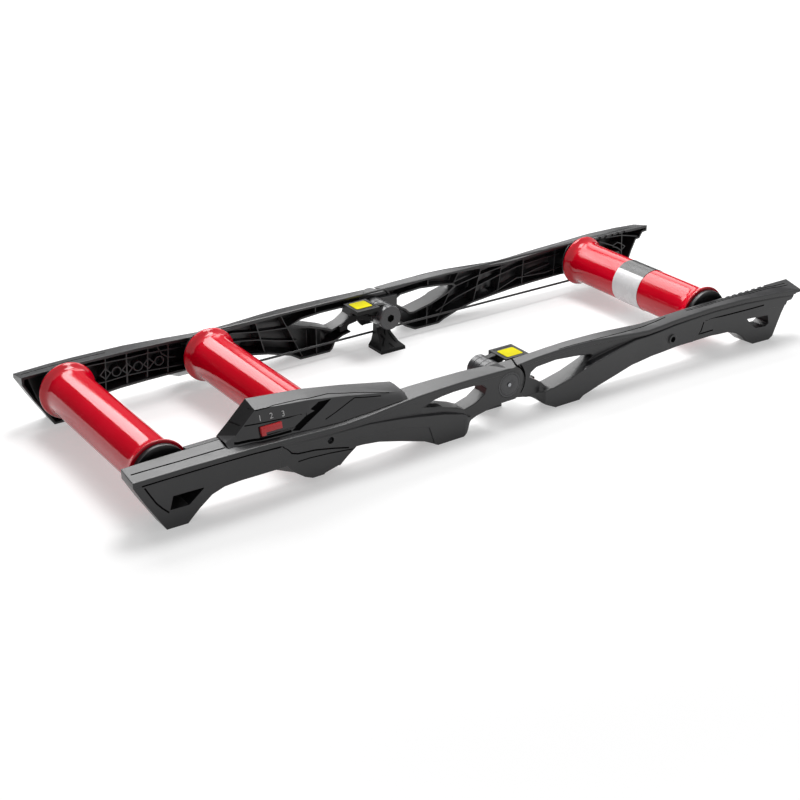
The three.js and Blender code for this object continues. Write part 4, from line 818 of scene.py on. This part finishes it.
SLIDER_BAR = (-483.5, -445.5, 0, 5, 4.6, 15.4, 0.9)
SLIDER_TAB = (-483.1, -475.1, 0.4, 5.8, 0.3, 12.0, 0.8)
SLIDER_RIDGE = (-473, -447, 4.2, 5.6, 11.6, 14.6, 0.5)
work = bmesh.new()
for box in (SLIDER_BAR, SLIDER_TAB, SLIDER_RIDGE):
    leaning_box(work, *box)
keep_piece(work, "slider_moulded", [SLIDER_ABS], "slider_plastic", "resistance_slider",
           "resistance_slider")
print("slider made")

# %% Numbers
NUMBER_PLACES = {"1": (-480.5, 128.5), "2": (-460.5, 127.5), "3": (-439.5, 125.5)}
NUMBER_HEIGHT_MM = 13.0
cover_skin = skin_of("resistance_cover")
work = bmesh.new()
for figure, (x, z) in NUMBER_PLACES.items():
    spot = landed(cover_skin, "side", "right", [(x, z), (x, z)])[0]
    curve = bpy.data.curves.new("figure", "FONT")
    curve.body = figure
    curve.size = NUMBER_HEIGHT_MM * MM
    curve.extrude = 0.12 * MM
    curve.align_x = "CENTER"
    holder = bpy.data.objects.new("figure", curve)
    mesh = bpy.data.meshes.new_from_object(holder)
    stand = Matrix.Translation(spot) @ Matrix.Rotation(math.pi / 2 - FACE_LEAN, 4, "X")
    mesh.transform(stand)
    work.from_mesh(mesh)
    bpy.data.objects.remove(holder)
keep_piece(work, "stop_numbers", [NUMBER_INK], "cover_plastic", "rear_frame")
print("numbers printed")

# %% [markdown]
# ## Hinge discs
# A round disc closes each fold hinge on its outer face, with a fine ring near its rim and the end
# of the hinge pin shining in its middle.

# %% Hinge discs
DISC_PROFILE = [(3.7, 227.3), (23.2, 227.3), (23.2, 229.9), (20.4, 229.9), (19.9, 229.1), (19.2, 229.1),
                (18.7, 229.9), (8.5, 229.9), (8.0, 229.3), (3.7, 229.3), (3.7, 227.3)]
for side in SIDES:
    work = spun(DISC_PROFILE, 0, PIN_Z, side == "right")
    soften_rims(work, 0.25, 2)
    keep_piece(work, f"hinge_disc_{side}_turned", [BARREL_NYLON], "barrel_plastic",
               BODY_OF[f"hinge_disc_{side}"], f"hinge_disc_{side}")
print("hinge discs turned")

# %% [markdown]
# ## Floor, sky and lamps
# A pale studio floor with soft light from above. The floor lightens only what the camera, metal or
# glass sees of it, so it reads as white while the object keeps its soft shadow. The lamps stand
# beyond the object, where the glossy drums mirror them as long bright bands, and a low one makes
# the flat tops of the frames shine. Between and under the lamps the studio is dim, so the red of
# the drums stays deep.

# %% Floor
FLOOR_LIFT_NEAR, FLOOR_LIFT_FAR = 0.42, 0.95
LIFT_FROM, LIFT_TO = 0.9, 2.4


def seen_rays(owner):
    """One for rays from the camera and for rays that metal, gloss or glass sends on, else nought."""
    path = add_node(owner, "ShaderNodeLightPath")
    mirrored = add_node(owner, "ShaderNodeMath", {"operation": "MAXIMUM"},
                        {0: path.outputs["Is Glossy Ray"], 1: path.outputs["Is Transmission Ray"]})
    seen = add_node(owner, "ShaderNodeMath", {"operation": "MAXIMUM"},
                    {0: path.outputs["Is Camera Ray"], 1: mirrored.outputs[0]})
    return seen.outputs[0]


def studio_floor():
    work = bmesh.new()
    bmesh.ops.create_grid(work, x_segments=1, y_segments=1, size=9.0)
    mesh = bpy.data.meshes.new("studio_floor")
    work.to_mesh(mesh)
    work.free()
    floor = bpy.data.objects.new("studio_floor", mesh)
    bpy.context.collection.objects.link(floor)
    material = new_material("painted studio floor")
    seen = seen_rays(material)
    place = add_node(material, "ShaderNodeTexCoord").outputs["Object"]
    far = add_node(material, "ShaderNodeVectorMath", {"operation": "LENGTH"}, {0: place})
    rise = add_node(material, "ShaderNodeMapRange",
                    {"From Min": LIFT_FROM, "From Max": LIFT_TO, "To Min": FLOOR_LIFT_NEAR,
                     "To Max": FLOOR_LIFT_FAR, "interpolation_type": "SMOOTHSTEP"},
                    {"Value": far.outputs["Value"]})
    lift = add_node(material, "ShaderNodeMath", {"operation": "MULTIPLY"},
                    {0: seen, 1: rise.outputs["Result"]})
    paint = add_node(material, "ShaderNodeBsdfDiffuse", {"Color": (0.62, 0.62, 0.62, 1)})
    glow = add_node(material, "ShaderNodeEmission", {"Color": (1, 1, 1, 1)},
                    {"Strength": lift.outputs[0]})
    both = add_node(material, "ShaderNodeAddShader", links={0: paint.outputs[0], 1: glow.outputs[0]})
    mesh.materials.append(finish_material(material, both))
    return floor


studio_floor()
print("floor laid")


# %% Lamps
def soft_lamp(name, place, aim, size, watts):
    data = bpy.data.lights.new(name, "AREA")
    data.shape = "RECTANGLE"
    data.size, data.size_y = size
    data.energy = watts
    lamp = bpy.data.objects.new(name, data)
    lamp.location = place
    lamp.rotation_euler = (Vector(aim) - Vector(place)).to_track_quat("-Z", "Y").to_euler()
    bpy.context.collection.objects.link(lamp)
    return lamp


LAMPS = {  # name: place, aim and size in metres, watts
    "rear_drum_lamp": ((-0.27, 2.0, 1.45), (-0.4, 0, 0), (1.2, 0.6), 15),
    "front_drum_lamp": ((0.55, 2.0, 2.3), (0.3, 0, 0), (2.7, 0.6), 34),
    "flange_lamp": ((1.45, 2.0, 1.2), (-0.2, -0.2, 0), (1.9, 0.9), 15),
    "key_lamp": ((0.6, 0.8, 2.9), (0, 0, 0), (1.3, 1.3), 72),
}
for name, (place, aim, size, watts) in LAMPS.items():
    soft_lamp(name, place, aim, size, watts)
print("hung", len(LAMPS), "lamps")

# %% [markdown]
# ## Black flag
# Behind the lamps a photographer hangs a black cloth, a flag, so that gloss mirrors dark between the
# bright bands. It works only on what mirrors it, and neither the camera nor the light sees it.

# %% Black flag
work = bmesh.new()
bmesh.ops.create_grid(work, x_segments=1, y_segments=1, size=1.0,
                      matrix=Matrix.Translation((0.5, 2.4, 1.35)) @ Matrix.Rotation(math.pi / 2, 4, "X")
                      @ Matrix.Diagonal((4.5, 1.35, 1, 1)))
flag_mesh = bpy.data.meshes.new("black_flag")
work.to_mesh(flag_mesh)
work.free()
flag_cloth = new_material("black flag cloth")
NAP_MM = 2.5
cloth_nap = add_node(flag_cloth, "ShaderNodeTexNoise", {"Scale": 1 / (NAP_MM * MM)},
                     {"Vector": add_node(flag_cloth, "ShaderNodeTexCoord").outputs["Object"]})
cloth_tone = add_node(flag_cloth, "ShaderNodeValToRGB",
                      {"stops": [(TONE_LOW, "#686868"), (TONE_HIGH, "#707070")]},
                      {"Fac": cloth_nap.outputs[0]})
cloth = add_node(flag_cloth, "ShaderNodeBsdfDiffuse", links={"Color": cloth_tone.outputs["Color"]})
flag_mesh.materials.append(finish_material(flag_cloth, cloth))
flag = bpy.data.objects.new("black_flag", flag_mesh)
bpy.context.collection.objects.link(flag)
flag.visible_camera = flag.visible_diffuse = flag.visible_shadow = flag.visible_transmission = False
print("flag hung")

# %% World
SKY_LIGHT, SKY_SEEN = 0.25, 1.0
world = bpy.data.worlds.new("studio")
bpy.context.scene.world = world
world.use_nodes = True
world.node_tree.nodes.clear()
strength = add_node(world, "ShaderNodeMix", {"data_type": "FLOAT", 2: SKY_LIGHT, 3: SKY_SEEN},
                    {0: seen_rays(world)})
sky = add_node(world, "ShaderNodeBackground", {"Color": (1, 1, 1, 1)}, {"Strength": strength.outputs[0]})
add_node(world, "ShaderNodeOutputWorld", links={"Surface": sky.outputs[0]})
print("studio sky ready")
